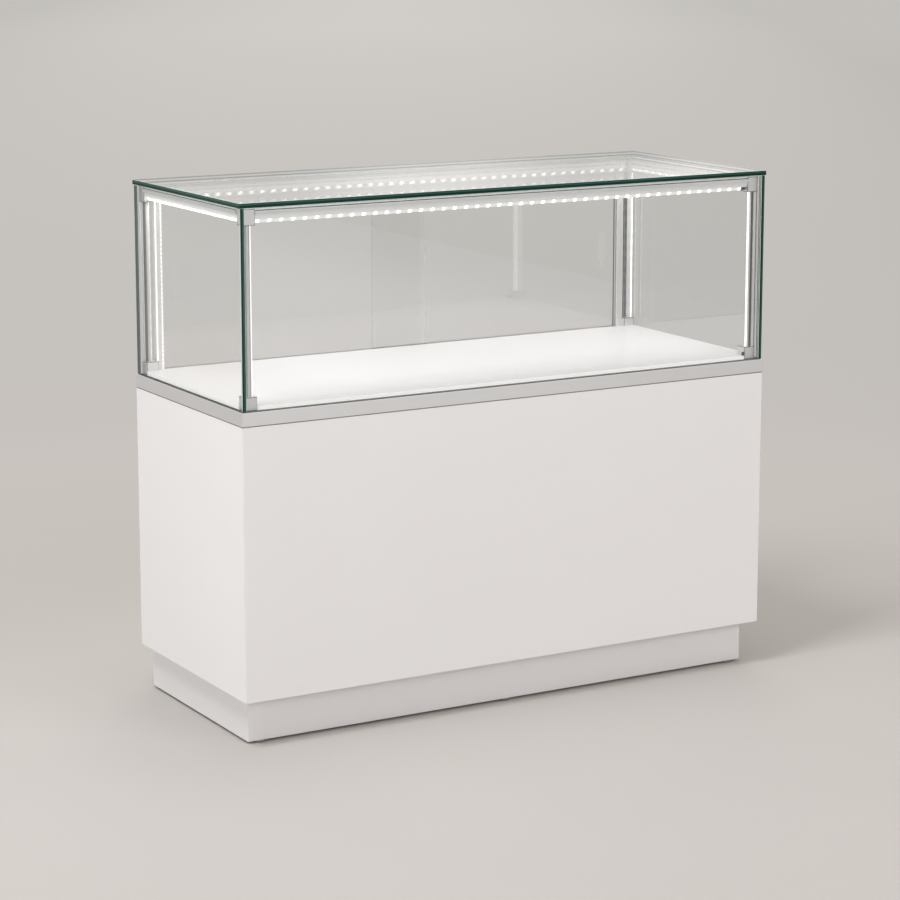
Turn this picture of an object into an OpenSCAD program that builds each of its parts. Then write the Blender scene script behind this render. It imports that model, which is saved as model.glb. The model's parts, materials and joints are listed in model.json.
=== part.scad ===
// Pedestal display case: a lit glass showcase on a white storage cabinet.
// The front faces -Y and +X is to the right. The origin is on the floor,
// under the middle of the case. All sizes are in millimetres.

/* [Overall] */
// Width of the case
case_w = 1200; // [1000:10:1600]
// Depth of the case
case_d = 490; // [440:10:650]
// Height of the cabinet above its plinth
body_h = 535; // [400:5:800]
// Height from the deck to the underside of the glass top
display_h = 384; // [250:2:500]

/* [Plinth] */
// Height of the plinth boards
plinth_h = 88; // [76:1:150]
// Thickness of the plinth boards
plinth_t = 18; // [15:1:22]
// Recess of the plinth at the front
toe_front = 35; // [20:1:60]
// Recess of the plinth at each end
toe_side = 20; // [10:1:50]
// Recess of the plinth at the back
toe_back = 10; // [8:1:30]
// Height of the glides under the plinth
glide_h = 5; // [3:0.5:12]
// Diameter of a glide
glide_d = 22; // [16:1:30]
// Rounding of a glide's lower edge
glide_r = 1; // [0.5:0.25:1.5]
// Distance from the end of the plinth to the middle of its first glide
glide_in = 28; // [20:1:60]
// Thickness of the braces inside the plinth
brace_t = 16; // [12:1:22]
// Height of the braces inside the plinth
brace_h = 70; // [40:2:74]
// Distance of each brace from the middle of the case
brace_x = 190; // [100:5:250]

/* [Cabinet] */
// Thickness of the cabinet's boards
board_t = 18; // [16:1:20]
// Radius on the cabinet's and the plinth's upright front edges
edge_r = 1.5; // [0.5:0.5:3]
// Thickness of the shelves
shelf_t = 16; // [12:1:22]
// Height of the shelves above the cabinet's floor
shelf_up = 240; // [160:5:280]
// Clearance at each end and at the front of a shelf
shelf_gap = 1.5; // [1:0.5:4]
// Distance from the back of the cabinet to the back edge of a shelf
shelf_back = 40; // [38:1:80]
// Width of the notch in a shelf's front outer corner, where the lead passes
shelf_notch = 12; // [10:1:20]
// Diameter of the shelf pins and their holes' nominal size
pin_d = 5; // [4:0.5:7]
// Length of a shelf pin, half of it in its hole
pin_l = 16; // [12:1:16]
// Spacing of the shelf pin holes up the boards
pin_step = 32; // [20:1:40]
// Holes above and below the one in use
pin_spare = 2; // [0:1:2]
// Distance from the front and back edges of a shelf to its pins
pin_in = 50; // [30:1:90]

/* [Storage doors] */
// Thickness of the storage doors
door_t = 18; // [16:1:20]
// Gap round a storage door
door_gap = 3; // [2.5:0.5:4]
// How far a storage door lies inside the back of the cabinet
door_set = 4; // [3:0.5:6]
// Distance from the hinged edge of a door to its pivot
pivot_in = 22; // [18:1:30]
// Diameter of the pivot pins
pivot_d = 8; // [6:0.5:9]
// Length of a pivot pin in the door and in the board that holds it
pivot_l = 13; // [8:1:14]
// Diameter of the collar that carries the door
collar_d = 14; // [12:0.5:16]
// Thickness of the rail that stops the door
stop_t = 12; // [10:1:13]
// Height of the rail that stops the door
stop_h = 40; // [30:1:60]
// Distance from the end of the stop rail to the pivot
stop_short = 35; // [32:1:60]
// Diameter of the lock's barrel
lock_d = 19; // [17:0.5:20]
// Diameter of the lock's turning plug
plug_d = 13; // [10:0.5:14]
// Diameter of the lock's round face
lock_face_d = 24; // [22:0.5:26]
// Thickness of the lock's round face
lock_face_t = 2; // [1:0.5:3]
// Distance of the lock and the pull from the free edge of a door
lock_in = 45; // [40:1:80]
// Distance of the lock below the stop rail
lock_drop = 18; // [17:1:24]
// Overlap of the turned cam and the stop rail
cam_hold = 12; // [8:1:20]
// Width of the lock's cam
cam_w = 14; // [10:1:16]
// Thickness of the lock's cam
cam_t = 2.5; // [2:0.5:3]
// Width of the flush pull's tray
pull_w = 32; // [28:1:45]
// Height of the flush pull's tray
pull_h = 90; // [70:1:120]
// Depth of the flush pull's tray
pull_deep = 12; // [9:0.5:13]
// Thickness of the flush pull's metal
pull_t = 1.5; // [1:0.25:2]
// Width of the flush pull's rim round its tray
pull_rim = 4; // [3:0.5:8]
// Distance from the lock down to the middle of the pull
pull_drop = 110; // [80:5:160]

/* [Deck and band] */
// Thickness of the deck board at its edges
deck_t = 25; // [18:1:30]
// How far the deck's field stands above its edges
deck_rise = 9; // [5:0.5:12]
// Gap between the deck's raised field and what stands round it
deck_gap = 1.4; // [1:0.1:2]
// Thickness of the aluminium band's wall and of its foot
band_t = 3; // [2:0.5:4]
// Width of the band's foot, which carries the deck
band_foot = 20; // [15:1:21]
// Bevel on the band's outer edges
band_bevel = 0.5; // [0.3:0.1:1]
// Gap between the deck and the band
deck_fit = 0.3; // [0.1:0.1:1]

/* [Glass] */
// Thickness of the glass walls
glass_t = 8; // [6:1:10]
// Thickness of the glass top
top_glass_t = 10; // [8:1:12]
// How far the glass walls stand inside the case's outline
glass_set = 2; // [1:0.5:4]
// Polished bevel on the edges of the fixed glass
glass_bevel = 0.5; // [0.4:0.1:1.2]
// Glued seam between two panes
seam = 0.5; // [0.2:0.1:1]
// Thickness of the seals under the glass walls
seal_t = 1.5; // [1:0.1:3]
// Width of the seals under the glass walls
seal_w = 5.5; // [4:0.5:7]
// Thickness of the gasket between the rails and the glass top
gasket_t = 3; // [2:0.5:4]
// Width of the gasket between the rails and the glass top
gasket_w = 8; // [5:0.5:12]
// Width of the glazing tape between the frame and the glass walls
tape_w = 5; // [3:0.5:6]

/* [Frame] */
// Gap between the glass walls and the corner blocks
frame_gap = 2; // [1:0.25:4]
// How far the posts and rails stand inside the faces of the blocks
frame_set = 1; // [0.5:0.25:2]
// Height of the blocks at the foot of the posts
base_block_h = 26; // [20:1:40]
// Height of the blocks at the head of the posts
top_block_h = 31; // [26:1:45]
// Radius on the edges of the blocks
block_r = 1.5; // [0.5:0.25:3]
// Thickness of the pad under each block
pad_t = 0.8; // [0.5:0.1:1.2]
// Width of a post with its light cover
post_w = 15.5; // [15:0.5:18]
// Width of a post's aluminium core
core_w = 10; // [9.5:0.5:10.5]
// Wall of a post's aluminium core
core_wall = 1.8; // [1.5:0.1:2]
// Bevel on the core's inner corner, where its light strip lies
core_bevel = 5; // [4.5:0.25:5.5]
// Width of the groove down each outer face of a post
groove_w = 1.6; // [1:0.1:2]
// Depth of the groove down each outer face of a post
groove_deep = 0.6; // [0.3:0.1:1]
// Distance from a post's outer corner to its groove
groove_in = 3; // [2.5:0.25:3.5]
// Depth of the front and side rails
rail_w = 18; // [16:0.5:20]
// Height of the rails above their light strips
rail_h = 16; // [14:0.5:22]
// Wall of the hollow rails
rail_wall = 1.6; // [1.2:0.1:2]
// Length of the spigots that join the blocks to the posts and rails
spigot_l = 20; // [12:1:25]
// Clearance round a spigot
spigot_fit = 0.15; // [0.1:0.05:0.3]

/* [Lighting] */
// Width of the rails' light strips
led_w = 8; // [7:0.5:10]
// Thickness of a light strip
led_t = 1; // [0.6:0.1:1.2]
// Spacing of the lights along a rail
led_pitch = 25; // [20:1:50]
// Diameter of a light at the strip
led_d = 5; // [3.5:0.5:6]
// Diameter of a light at its tip
led_tip = 3.4; // [3:0.1:3.5]
// Height of a light
led_h = 3.6; // [2:0.2:5]
// Height of the carrier under a rail that holds its strip
carrier_h = 5; // [3:0.5:6]
// Thickness of the carrier's lips
carrier_lip = 0.6; // [0.5:0.1:1]
// Clearance round a light strip in its carrier
led_fit = 0.1; // [0.05:0.05:0.3]
// Distance from a light strip to the corner blocks
led_end = 3; // [1:0.5:10]
// Width of the light strips in the posts
post_led_w = 5.5; // [4:0.5:6]
// Wall of the posts' light covers
cover_t = 1.5; // [1.3:0.1:1.8]
// Radius on the inner corner of the light covers
cover_r = 5; // [4:0.5:6]
// Gap between a post's core and its light cover
cover_fit = 0.1; // [0.05:0.05:0.2]
// Thickness of the hooks that hold the light covers
hook_t = 0.7; // [0.5:0.1:0.8]
// Length of the hooks that hold the light covers
hook_l = 0.8; // [0.6:0.1:1]
// Length of the plug at the end of the front light strip
feed_l = 9; // [6:0.5:14]
// Height of the plug below the front light strip
feed_h = 6; // [4:0.5:8]
// Width of the plug at the foot of the front right post
foot_plug_w = 4; // [3:0.5:8]
// Height of the plug at the foot of the front right post
foot_plug_h = 7; // [4:0.5:12]

/* [Sliding glass doors] */
// Thickness of the sliding glass
slide_t = 5; // [4:0.25:5.25]
// Overlap of the two closed sliding doors
slide_lap = 124; // [40:2:160]
// How far a closed door's edge goes into its end channel
slide_in = 14; // [8:1:14]
// Height of the doors' glass in the upper track
slide_up = 8; // [7:0.5:9]
// Width of a slot in the tracks and end channels
slot_w = 6.4; // [6.2:0.1:7]
// Outer walls of the tracks and end channels
track_wall = 1.2; // [1:0.1:1.6]
// Middle wall of the tracks and end channels
track_web = 1.4; // [1:0.1:2]
// Floor of the tracks' slots
track_floor = 1.5; // [1:0.1:2]
// Height of the lower track
low_track_h = 8; // [6:0.5:10]
// Height of the upper track
high_track_h = 16; // [14:0.5:20]
// Width of the end channels
channel_w = 16; // [14:1:24]
// Clearance under a door's shoes
slide_gap = 0.3; // [0.2:0.1:0.5]
// Thickness of the shoes under the glass
shoe_base = 1; // [0.6:0.1:1.5]
// Wall of the shoes beside the glass
shoe_wall = 0.5; // [0.4:0.05:0.6]
// Height of the shoes
shoe_h = 6; // [4:0.5:9]
// Length of the shoes
shoe_l = 60; // [30:5:100]
// Distance from a door's upright edges to its shoes
shoe_in = 40; // [20:5:80]
// Width of the finger grip ground into a door
grip_w = 18; // [14:1:24]
// Height of the finger grip ground into a door
grip_h = 80; // [50:5:120]
// Depth of the finger grip ground into a door
grip_deep = 2; // [1:0.25:2.5]
// Distance from a door's closing edge to its finger grip
grip_in = 45; // [30:1:80]

/* [Power] */
// Length of the lighting driver
driver_l = 175; // [120:5:200]
// Width of the lighting driver
driver_w = 58; // [40:1:70]
// Height of the lighting driver
driver_h = 30; // [26:1:40]
// Height of the leads' entries above the cabinet's floor
lead_up = 22; // [21:1:23]
// Length of the driver's fixing lug at each end
lug_l = 12; // [10:1:18]
// Thickness of the driver's fixing lugs
lug_t = 3; // [2:0.5:5]
// Diameter of the hole in each lug
lug_d = 4.2; // [3:0.2:5]
// Diameter of the lead to the lights
lead_d = 3.2; // [2.4:0.2:3.4]
// Diameter of the lead from the mains inlet
mains_d = 5; // [4:0.5:5.5]
// Clearance round a lead in its hole
lead_fit = 0.5; // [0.4:0.1:0.5]
// Bend radius of the lead to the lights
lead_bend = 14; // [10:1:20]
// Bend radius of the lead from the mains inlet
mains_bend = 20; // [16:1:20]
// Distance of the mains inlet from the right-hand end of the case
inlet_side = 160; // [110:5:180]
// Distance of the mains inlet below the cabinet
inlet_drop = 24; // [20:1:40]
// Width of the mains inlet's socket
socket_w = 24.4; // [24:0.1:25]
// Height of the mains inlet's socket
socket_h = 16.6; // [16:0.1:17]
// Depth of the mains inlet's socket
socket_deep = 17; // [15:0.5:20]
// Bevel on the socket's two upper corners
socket_bevel = 4; // [3:0.5:6]
// Length of the socket's contact blades
blade_l = 12; // [8:0.5:13]
// Width of the socket's contact blades
blade_w = 4; // [3:0.5:5]
// Thickness of the socket's contact blades
blade_t = 2; // [1.5:0.1:2.5]
// Wall round the socket and the switch
inlet_wall = 2.2; // [2:0.1:3]
// Rim of the inlet on the outside of the plinth
inlet_rim = 3; // [2:0.5:5]
// Thickness of the inlet's rim
inlet_rim_t = 2.5; // [2:0.5:4]
// Width of the opening for the switch rocker
rocker_w = 13; // [12:0.5:15]
// Height of the opening for the switch rocker
rocker_h = 19; // [18:0.5:20]
// Depth of the opening for the switch rocker
rocker_deep = 12; // [11:0.5:15]
// Angle of the rocker at rest
rocker_tilt = 7; // [4:1:8]
// Clearance round the rocker in its opening
rocker_gap = 0.4; // [0.3:0.1:0.5]
// Diameter of the rocker's pivot studs
stud_d = 3; // [2:0.5:3.5]

/* [Hidden] */
$fn = 48;
// A cut runs this far past the face that it opens
over = 1;
// A running fit between a pin and its bore
run_fit = 0.05;
// What is closed or stopped rests this far from its stop
rest_gap = 0.3;

// Heights, from the floor up
z_plinth = glide_h;
z_body = z_plinth + plinth_h;
z_floor_top = z_body + board_t;
z_band = z_body + body_h;
z_ceiling = z_band - board_t;
z_deck = z_band + band_t;
z_deck_top = z_deck + deck_t;
z_field = z_deck_top + deck_rise;
z_glass = z_deck_top + seal_t;
z_glass_top = z_deck_top + display_h;
z_rail_top = z_glass_top - gasket_t;
z_rail = z_rail_top - rail_h;
z_post = z_deck_top + pad_t + base_block_h;
z_post_top = z_rail_top - top_block_h;
band_h = band_t + deck_t;

// The plinth's outline
plinth_w = case_w - 2 * toe_side;
plinth_y0 = -case_d / 2 + toe_front;
plinth_y1 = case_d / 2 - toe_back;
plinth_d = plinth_y1 - plinth_y0;

// The cabinet's inside
inner_x = case_w / 2 - board_t;
inner_y = -case_d / 2 + board_t;
bay_x0 = board_t / 2;

// The storage doors
door_y1 = case_d / 2 - door_set;
door_y0 = door_y1 - door_t;
door_x0 = door_gap / 2;
door_x1 = inner_x - door_gap;
door_z0 = z_floor_top + door_gap;
door_z1 = z_ceiling - door_gap;
pivot_x = door_x1 - pivot_in;
pivot_y = (door_y0 + door_y1) / 2;
stop_y1 = door_y0 - rest_gap;
stop_y0 = stop_y1 - stop_t;
lock_x = door_x0 + lock_in;
lock_z = z_ceiling - stop_h - lock_drop;
lock_y1 = door_y1 + lock_face_t;
cam_gap = 2;
cam_y1 = stop_y0 - cam_gap;
cam_y0 = cam_y1 - cam_t;
cam_l = lock_drop + cam_hold;
nut_w = 22;
nut_t = 4;
key_w = 1.6;
key_h = 8;
key_deep = 3;
pull_z = lock_z - pull_drop;
pull_r = 3;
pull_fit = 0.2;

// The shelves
shelf_z = z_floor_top + shelf_up;
shelf_y0 = inner_y + shelf_gap;
shelf_y1 = case_d / 2 - shelf_back;
pin_ys = [shelf_y0 + pin_in, shelf_y1 - pin_in];
pin_z = shelf_z - pin_d / 2;
pin_fit = 0.05;

// Profiles and blocks of the glass case's frame
carrier_w = led_w + 2 * led_fit + 2 * carrier_lip;
seat_deep = led_t + 2 * led_fit;
track_d = 2 * track_wall + track_web + 2 * slot_w;
block_w = carrier_w + track_d;
frame_in = glass_set + glass_t + frame_gap;
frame_x = case_w / 2 - frame_in;
frame_front = case_d / 2 - frame_in;
frame_rear = case_d / 2 - glass_set;
side_glass_x = case_w / 2 - glass_set - glass_t;
front_glass_y = -case_d / 2 + glass_set + glass_t;
span_x = 2 * (frame_x - block_w);
span_y = frame_front + frame_rear - 2 * block_w;
mid_y = (frame_rear - frame_front) / 2;
core_in = core_w - 2 * core_wall;
core_in_bevel = core_bevel - core_wall * (2 - sqrt(2));
spigot_w = core_in - 2 * spigot_fit;
spigot_bevel = core_in_bevel - spigot_fit * (2 - sqrt(2));
hook_in = 0.4;
tape_t = frame_gap + frame_set;
rail_mid_x = frame_x - frame_set - rail_w / 2;
rail_mid_y = -frame_front + frame_set + rail_w / 2;
carrier_in = (rail_w - carrier_w) / 2;
z_led = z_rail - carrier_h + seat_deep;
seal_in = (glass_t - seal_w) / 2;
wire_in = frame_set + post_w - cover_r;

// The sliding glass doors
channel_x = frame_x - block_w - channel_w;
track_y0 = frame_rear - track_d;
slot_y = [for (i = [0, 1]) track_y0 + track_wall + slot_w / 2 + i * (slot_w + track_web)];
slide_edge = channel_x + slide_in;
slide_w = slide_edge + slide_lap / 2;
slide_z0 = z_deck_top + track_floor + slide_gap + shoe_base;
slide_z1 = z_rail - high_track_h + slide_up;
slide_bevel = 0.5;
grip_z = (slide_z0 + slide_z1) / 2;

// The power inlet and the leads
inlet_x = case_w / 2 - inlet_side;
inlet_y1 = plinth_y1 + inlet_rim_t;
inlet_z = z_body - inlet_drop;
body_w = socket_w + rocker_w + 3 * inlet_wall;
inlet_body_h = rocker_h + 2 * inlet_wall;
inlet_deep = socket_deep + inlet_wall;
socket_x = -body_w / 2 + inlet_wall + socket_w / 2;
rocker_x = body_w / 2 - inlet_wall - rocker_w / 2;
blade_step = 7;
blade_drop = 2;
stud_in = 1;
stud_l = 1;
rocker_y = inlet_y1 - stud_in - stud_d / 2;
inlet_fit = 0.2;
wire_x = frame_x - wire_in;
wire_y = -(frame_front - wire_in);
lead_fn = 24;
lead_straight = 30;
mains_straight = 12;
driver_gap = 3;
driver_y0 = inner_y + driver_gap;
driver_x1 = wire_x - lead_bend - lead_straight;
driver_x0 = driver_x1 - driver_l;
lead_z = z_floor_top + lead_up;
mains_y = driver_y0 + driver_w + mains_straight + mains_bend;

// The shapes of parts that several modules draw

// Draws its children on the right and mirrored on the left
module both_sides() {
  children();
  mirror([1, 0, 0]) children();
}

// Moves its children from the outer corner of a block to a corner of the frame
module at_corner(right, rear) {
  translate([right ? frame_x : -frame_x, rear ? frame_rear : -frame_front, 0])
    mirror([right ? 1 : 0, 0, 0])
      mirror([0, rear ? 1 : 0, 0])
        children();
}

module at_corners() {
  for (right = [false, true])
    for (rear = [false, true])
      at_corner(right, rear) children();
}

// Extrudes a section along X from x0, its first axis to +Y and its second up
module along_x(x0, len) {
  translate([x0, 0, 0]) rotate([90, 0, 90]) linear_extrude(len) children();
}

// Extrudes a section along Y from y0, its first axis to +X and its second up
module along_y(y0, len) {
  translate([0, y0 + len, 0]) rotate([90, 0, 0]) linear_extrude(len) children();
}

// A cylinder along Y between two places
module rod_y(d, y0, y1) {
  translate([0, y1, 0]) rotate([90, 0, 0]) cylinder(d = d, h = y1 - y0);
}

module bevelled(w, h, b) {
  polygon([[b, 0], [w - b, 0], [w, b], [w, h - b], [w - b, h], [b, h], [0, h - b], [0, b]]);
}

// A pane with a bevel on every edge, its lowest corner at the origin
module pane(size, b) {
  intersection() {
    linear_extrude(size[2]) bevelled(size[0], size[1], b);
    along_x(0, size[0]) bevelled(size[1], size[2], b);
    along_y(0, size[1]) bevelled(size[0], size[2], b);
  }
}

module round_square(w, h, r) {
  translate([r, 0]) square([w - 2 * r, h]);
  translate([0, r]) square([w, h - 2 * r]);
  for (x = [r, w - r])
    for (y = [r, h - r])
      translate([x, y]) circle(r);
}

// Plan of a box that is open at the back, rounded at its two front corners
module front_rounded(w, d, r) {
  translate([-w / 2, r]) square([w, d - r]);
  translate([-w / 2 + r, 0]) square([w - 2 * r, d]);
  for (side = [-1, 1])
    translate([side * (w / 2 - r), r]) circle(r);
}

// The front board of such a box, mitred to its ends
module mitred_front(w, d, t, h) {
  linear_extrude(h) intersection() {
    front_rounded(w, d, edge_r);
    polygon([[-w / 2, 0], [w / 2, 0], [w / 2 - t, t], [-w / 2 + t, t]]);
  }
}

// The right end board of such a box, mitred to its front
module mitred_side(w, d, t, h) {
  linear_extrude(h) intersection() {
    front_rounded(w, d, edge_r);
    polygon([[w / 2, 0], [w / 2, d], [w / 2 - t, d], [w / 2 - t, t]]);
  }
}

// The plinth and its glides

module plinth_front() {
  color("gainsboro") translate([0, plinth_y0, z_plinth])
    mitred_front(plinth_w, plinth_d, plinth_t, plinth_h);
}

module plinth_right() {
  color("gainsboro") translate([0, plinth_y0, z_plinth])
    mitred_side(plinth_w, plinth_d, plinth_t, plinth_h);
}

module plinth_left() {
  mirror([1, 0, 0]) plinth_right();
}

module plinth_rear() {
  board_w = plinth_w - 2 * plinth_t;
  color("gainsboro") difference() {
    translate([-board_w / 2, plinth_y1 - plinth_t, z_plinth]) cube([board_w, plinth_t, plinth_h]);
    translate([inlet_x, plinth_y1, inlet_z])
      translate([-body_w / 2 - inlet_fit, -plinth_t - over, -inlet_body_h / 2 - inlet_fit])
        cube([body_w + 2 * inlet_fit, plinth_t + 2 * over, inlet_body_h + 2 * inlet_fit]);
  }
}

module plinth_braces() {
  brace_y0 = plinth_y0 + plinth_t;
  brace_l = plinth_d - 2 * plinth_t;
  color("gainsboro") both_sides()
    translate([brace_x - brace_t / 2, brace_y0, z_body - brace_h]) cube([brace_t, brace_l, brace_h]);
}

module glide() {
  rotate_extrude()
    polygon([
      [0, 0], [glide_d / 2 - glide_r, 0], [glide_d / 2, glide_r], [glide_d / 2, glide_h], [0, glide_h]
    ]);
}

module foot_glides() {
  color("silver")
    for (x = [-1, 0, 1])
      for (y = [plinth_y0 + plinth_t / 2, plinth_y1 - plinth_t / 2])
        translate([x * (plinth_w / 2 - glide_in), y, 0]) glide();
}

// The cabinet

module front_panel() {
  color("white") translate([0, -case_d / 2, z_body])
    mitred_front(case_w, case_d, board_t, body_h);
}

// The blind holes for shelf pins in a board's face at x, opening towards side
module pin_holes(x, side) {
  depth = pin_l / 2;
  for (i = [-pin_spare:pin_spare])
    for (y = pin_ys)
      translate([x, y, pin_z + i * pin_step]) rotate([0, side * 90, 0])
        translate([0, 0, -depth]) cylinder(d = pin_d + 2 * pin_fit, h = depth + over);
}

module side_panel_right() {
  color("white") difference() {
    translate([0, -case_d / 2, z_body]) mitred_side(case_w, case_d, board_t, body_h);
    pin_holes(inner_x, -1);
  }
}

module side_panel_left() {
  mirror([1, 0, 0]) side_panel_right();
}

module lead_hole(d, x, y, z, t) {
  translate([x, y, z - over]) cylinder(d = d + 2 * lead_fit, h = t + 2 * over);
}

// A board across the cabinet, behind its front panel and between its ends
module cross_board(z) {
  translate([-inner_x, inner_y, z]) cube([2 * inner_x, case_d / 2 - inner_y, board_t]);
}

module cabinet_floor() {
  color("whitesmoke") difference() {
    cross_board(z_body);
    both_sides() translate([pivot_x, pivot_y, z_floor_top - pivot_l])
      cylinder(d = pivot_d + 2 * run_fit, h = pivot_l + over);
    lead_hole(mains_d, inlet_x, mains_y, z_body, board_t);
  }
}

module cabinet_top() {
  color("whitesmoke") difference() {
    cross_board(z_ceiling);
    both_sides() translate([pivot_x, pivot_y, z_ceiling - over])
      cylinder(d = pivot_d + 2 * run_fit, h = pivot_l + over);
    lead_hole(lead_d, wire_x, wire_y, z_ceiling, board_t);
  }
}

module centre_divider() {
  color("whitesmoke") difference() {
    translate([-bay_x0, inner_y, z_floor_top])
      cube([2 * bay_x0, stop_y1 - inner_y, z_ceiling - z_floor_top]);
    pin_holes(bay_x0, 1);
    pin_holes(-bay_x0, -1);
  }
}

module shelves() {
  shelf_w = inner_x - bay_x0 - 2 * shelf_gap;
  color("whitesmoke") both_sides() translate([bay_x0 + shelf_gap, shelf_y0, shelf_z]) difference() {
    cube([shelf_w, shelf_y1 - shelf_y0, shelf_t]);
    translate([shelf_w - shelf_notch, -over, -over])
      cube([shelf_notch + over, shelf_notch + over, shelf_t + 2 * over]);
  }
}

module shelf_pins() {
  color("silver") both_sides()
    for (x = [bay_x0, inner_x])
      for (y = pin_ys)
        translate([x - pin_l / 2, y, pin_z]) rotate([0, 90, 0]) cylinder(d = pin_d, h = pin_l);
}

module door_stop_rails() {
  color("whitesmoke") both_sides()
    translate([bay_x0, stop_y0, z_ceiling - stop_h])
      cube([pivot_x - stop_short - bay_x0, stop_t, stop_h]);
}

// The storage doors

// A pin held in the board below it, with the collar that carries the door
module pivot_pin() {
  translate([0, 0, -pivot_l]) cylinder(d = pivot_d, h = 2 * pivot_l + door_gap);
  cylinder(d = collar_d, h = door_gap - rest_gap);
}

module pivot_pins() {
  color("dimgray") both_sides() {
    translate([pivot_x, pivot_y, z_floor_top]) pivot_pin();
    translate([pivot_x, pivot_y, z_ceiling]) mirror([0, 0, 1]) pivot_pin();
  }
}

module storage_door_right() {
  bore_l = pivot_l + rest_gap;
  color("white") difference() {
    translate([door_x0, door_y0, door_z0])
      cube([door_x1 - door_x0, door_t, door_z1 - door_z0]);
    translate([pivot_x, pivot_y, door_z0 - over])
      cylinder(d = pivot_d + 2 * run_fit, h = bore_l + over);
    translate([pivot_x, pivot_y, door_z1 - bore_l])
      cylinder(d = pivot_d + 2 * run_fit, h = bore_l + over);
    translate([lock_x, 0, lock_z]) rod_y(lock_d + 2 * run_fit, door_y0 - over, door_y1 + over);
    translate([lock_x, door_y1, pull_z]) pull_block(pull_w + 2 * pull_fit, pull_h + 2 * pull_fit,
      pull_deep + pull_fit, over);
  }
}

module storage_door_left() {
  mirror([1, 0, 0]) storage_door_right();
}

// A round-cornered block that reaches from depth inside a door to rise outside it
module pull_block(w, h, depth, rise) {
  translate([-w / 2, rise, -h / 2]) rotate([90, 0, 0])
    linear_extrude(depth + rise) round_square(w, h, pull_r);
}

module flush_pull_right() {
  rim_w = pull_w + 2 * pull_rim;
  rim_h = pull_h + 2 * pull_rim;
  color("silver") translate([lock_x, door_y1, pull_z]) difference() {
    union() {
      pull_block(rim_w, rim_h, 0, pull_t);
      pull_block(pull_w, pull_h, pull_deep, 0);
    }
    pull_block(pull_w - 2 * pull_t, pull_h - 2 * pull_t, pull_deep - pull_t, pull_t + over);
  }
}

module flush_pull_left() {
  mirror([1, 0, 0]) flush_pull_right();
}

module lock_barrel_right() {
  color("silver") translate([lock_x, 0, lock_z]) difference() {
    union() {
      rod_y(lock_d, cam_y1, door_y1);
      rod_y(lock_face_d, door_y1, lock_y1);
      translate([0, door_y0, 0]) rotate([90, 0, 0]) cylinder(d = nut_w, h = nut_t, $fn = 6);
    }
    rod_y(plug_d + 2 * run_fit, cam_y1 - over, lock_y1 + over);
  }
}

module lock_barrel_left() {
  mirror([1, 0, 0]) lock_barrel_right();
}

// The turning plug with its cam, which points to the hinged edge when unlocked
module lock_cam_right() {
  plug_y1 = lock_y1 - rest_gap;
  color("gray") translate([lock_x, 0, lock_z]) {
    difference() {
      rod_y(plug_d, cam_y1, plug_y1);
      translate([-key_w / 2, plug_y1 - key_deep, -key_h / 2]) cube([key_w, key_deep + over, key_h]);
    }
    translate([0, cam_y1 - rest_gap, 0]) rotate([90, 0, 0]) linear_extrude(cam_t - rest_gap) {
      translate([0, -cam_w / 2]) square([cam_l - cam_w / 2, cam_w]);
      circle(d = cam_w);
      translate([cam_l - cam_w / 2, 0]) circle(d = cam_w);
    }
    rod_y(plug_d - 2 * cam_t, cam_y0, cam_y1);
  }
}

module lock_cam_left() {
  mirror([1, 0, 0]) lock_cam_right();
}

// The aluminium band and the deck

module band_section() {
  polygon([
    [0, band_bevel], [band_bevel, 0], [band_foot, 0], [band_foot, band_t], [band_t, band_t],
    [band_t, band_h], [band_bevel, band_h], [0, band_h - band_bevel]
  ]);
}

// A length of the band along X, mitred at both ends, its outer face on y = 0
module band_bar(len) {
  end = len / 2;
  in = end - band_foot;
  intersection() {
    along_x(-end, len) band_section();
    linear_extrude(band_h) polygon([[-end, 0], [end, 0], [in, band_foot], [-in, band_foot]]);
  }
}

module band_front() {
  color("lightgray") translate([0, -case_d / 2, z_band]) band_bar(case_w);
}

module band_rear() {
  color("lightgray") translate([0, case_d / 2, z_band]) rotate(180) band_bar(case_w);
}

module band_left() {
  color("lightgray") translate([-case_w / 2, 0, z_band]) rotate(-90) band_bar(case_d);
}

module band_right() {
  color("lightgray") translate([case_w / 2, 0, z_band]) rotate(90) band_bar(case_d);
}

// The deck, whose raised field stands inside the glass and is notched round the corner blocks
module deck_panel() {
  edge = band_t + deck_fit;
  field_x = side_glass_x - deck_gap;
  field_y = front_glass_y + deck_gap;
  notch = block_w + deck_gap + 2 * frame_gap;
  color("white") difference() {
    union() {
      translate([-case_w / 2 + edge, -case_d / 2 + edge, z_deck])
        cube([case_w - 2 * edge, case_d - 2 * edge, deck_t]);
      translate([-field_x, field_y, z_deck])
        cube([2 * field_x, track_y0 - deck_gap - field_y, deck_t + deck_rise]);
    }
    at_corners() translate([-2 * frame_gap, -2 * frame_gap, z_deck_top])
      cube([notch, notch, deck_rise + over]);
    lead_hole(lead_d, wire_x, wire_y, z_deck, deck_t);
  }
}

// The fixed glass

module glass_top() {
  color("paleturquoise", 0.4) translate([-case_w / 2, -case_d / 2, z_glass_top])
    pane([case_w, case_d, top_glass_t], glass_bevel);
}

module glass_front() {
  w = 2 * (side_glass_x - seam);
  color("paleturquoise", 0.4) translate([-w / 2, front_glass_y - glass_t, z_glass])
    pane([w, glass_t, z_glass_top - seam - z_glass], glass_bevel);
}

module glass_right() {
  d = case_d - 2 * glass_set;
  color("paleturquoise", 0.4) translate([side_glass_x, -d / 2, z_glass])
    pane([glass_t, d, z_glass_top - seam - z_glass], glass_bevel);
}

module glass_left() {
  mirror([1, 0, 0]) glass_right();
}

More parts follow.
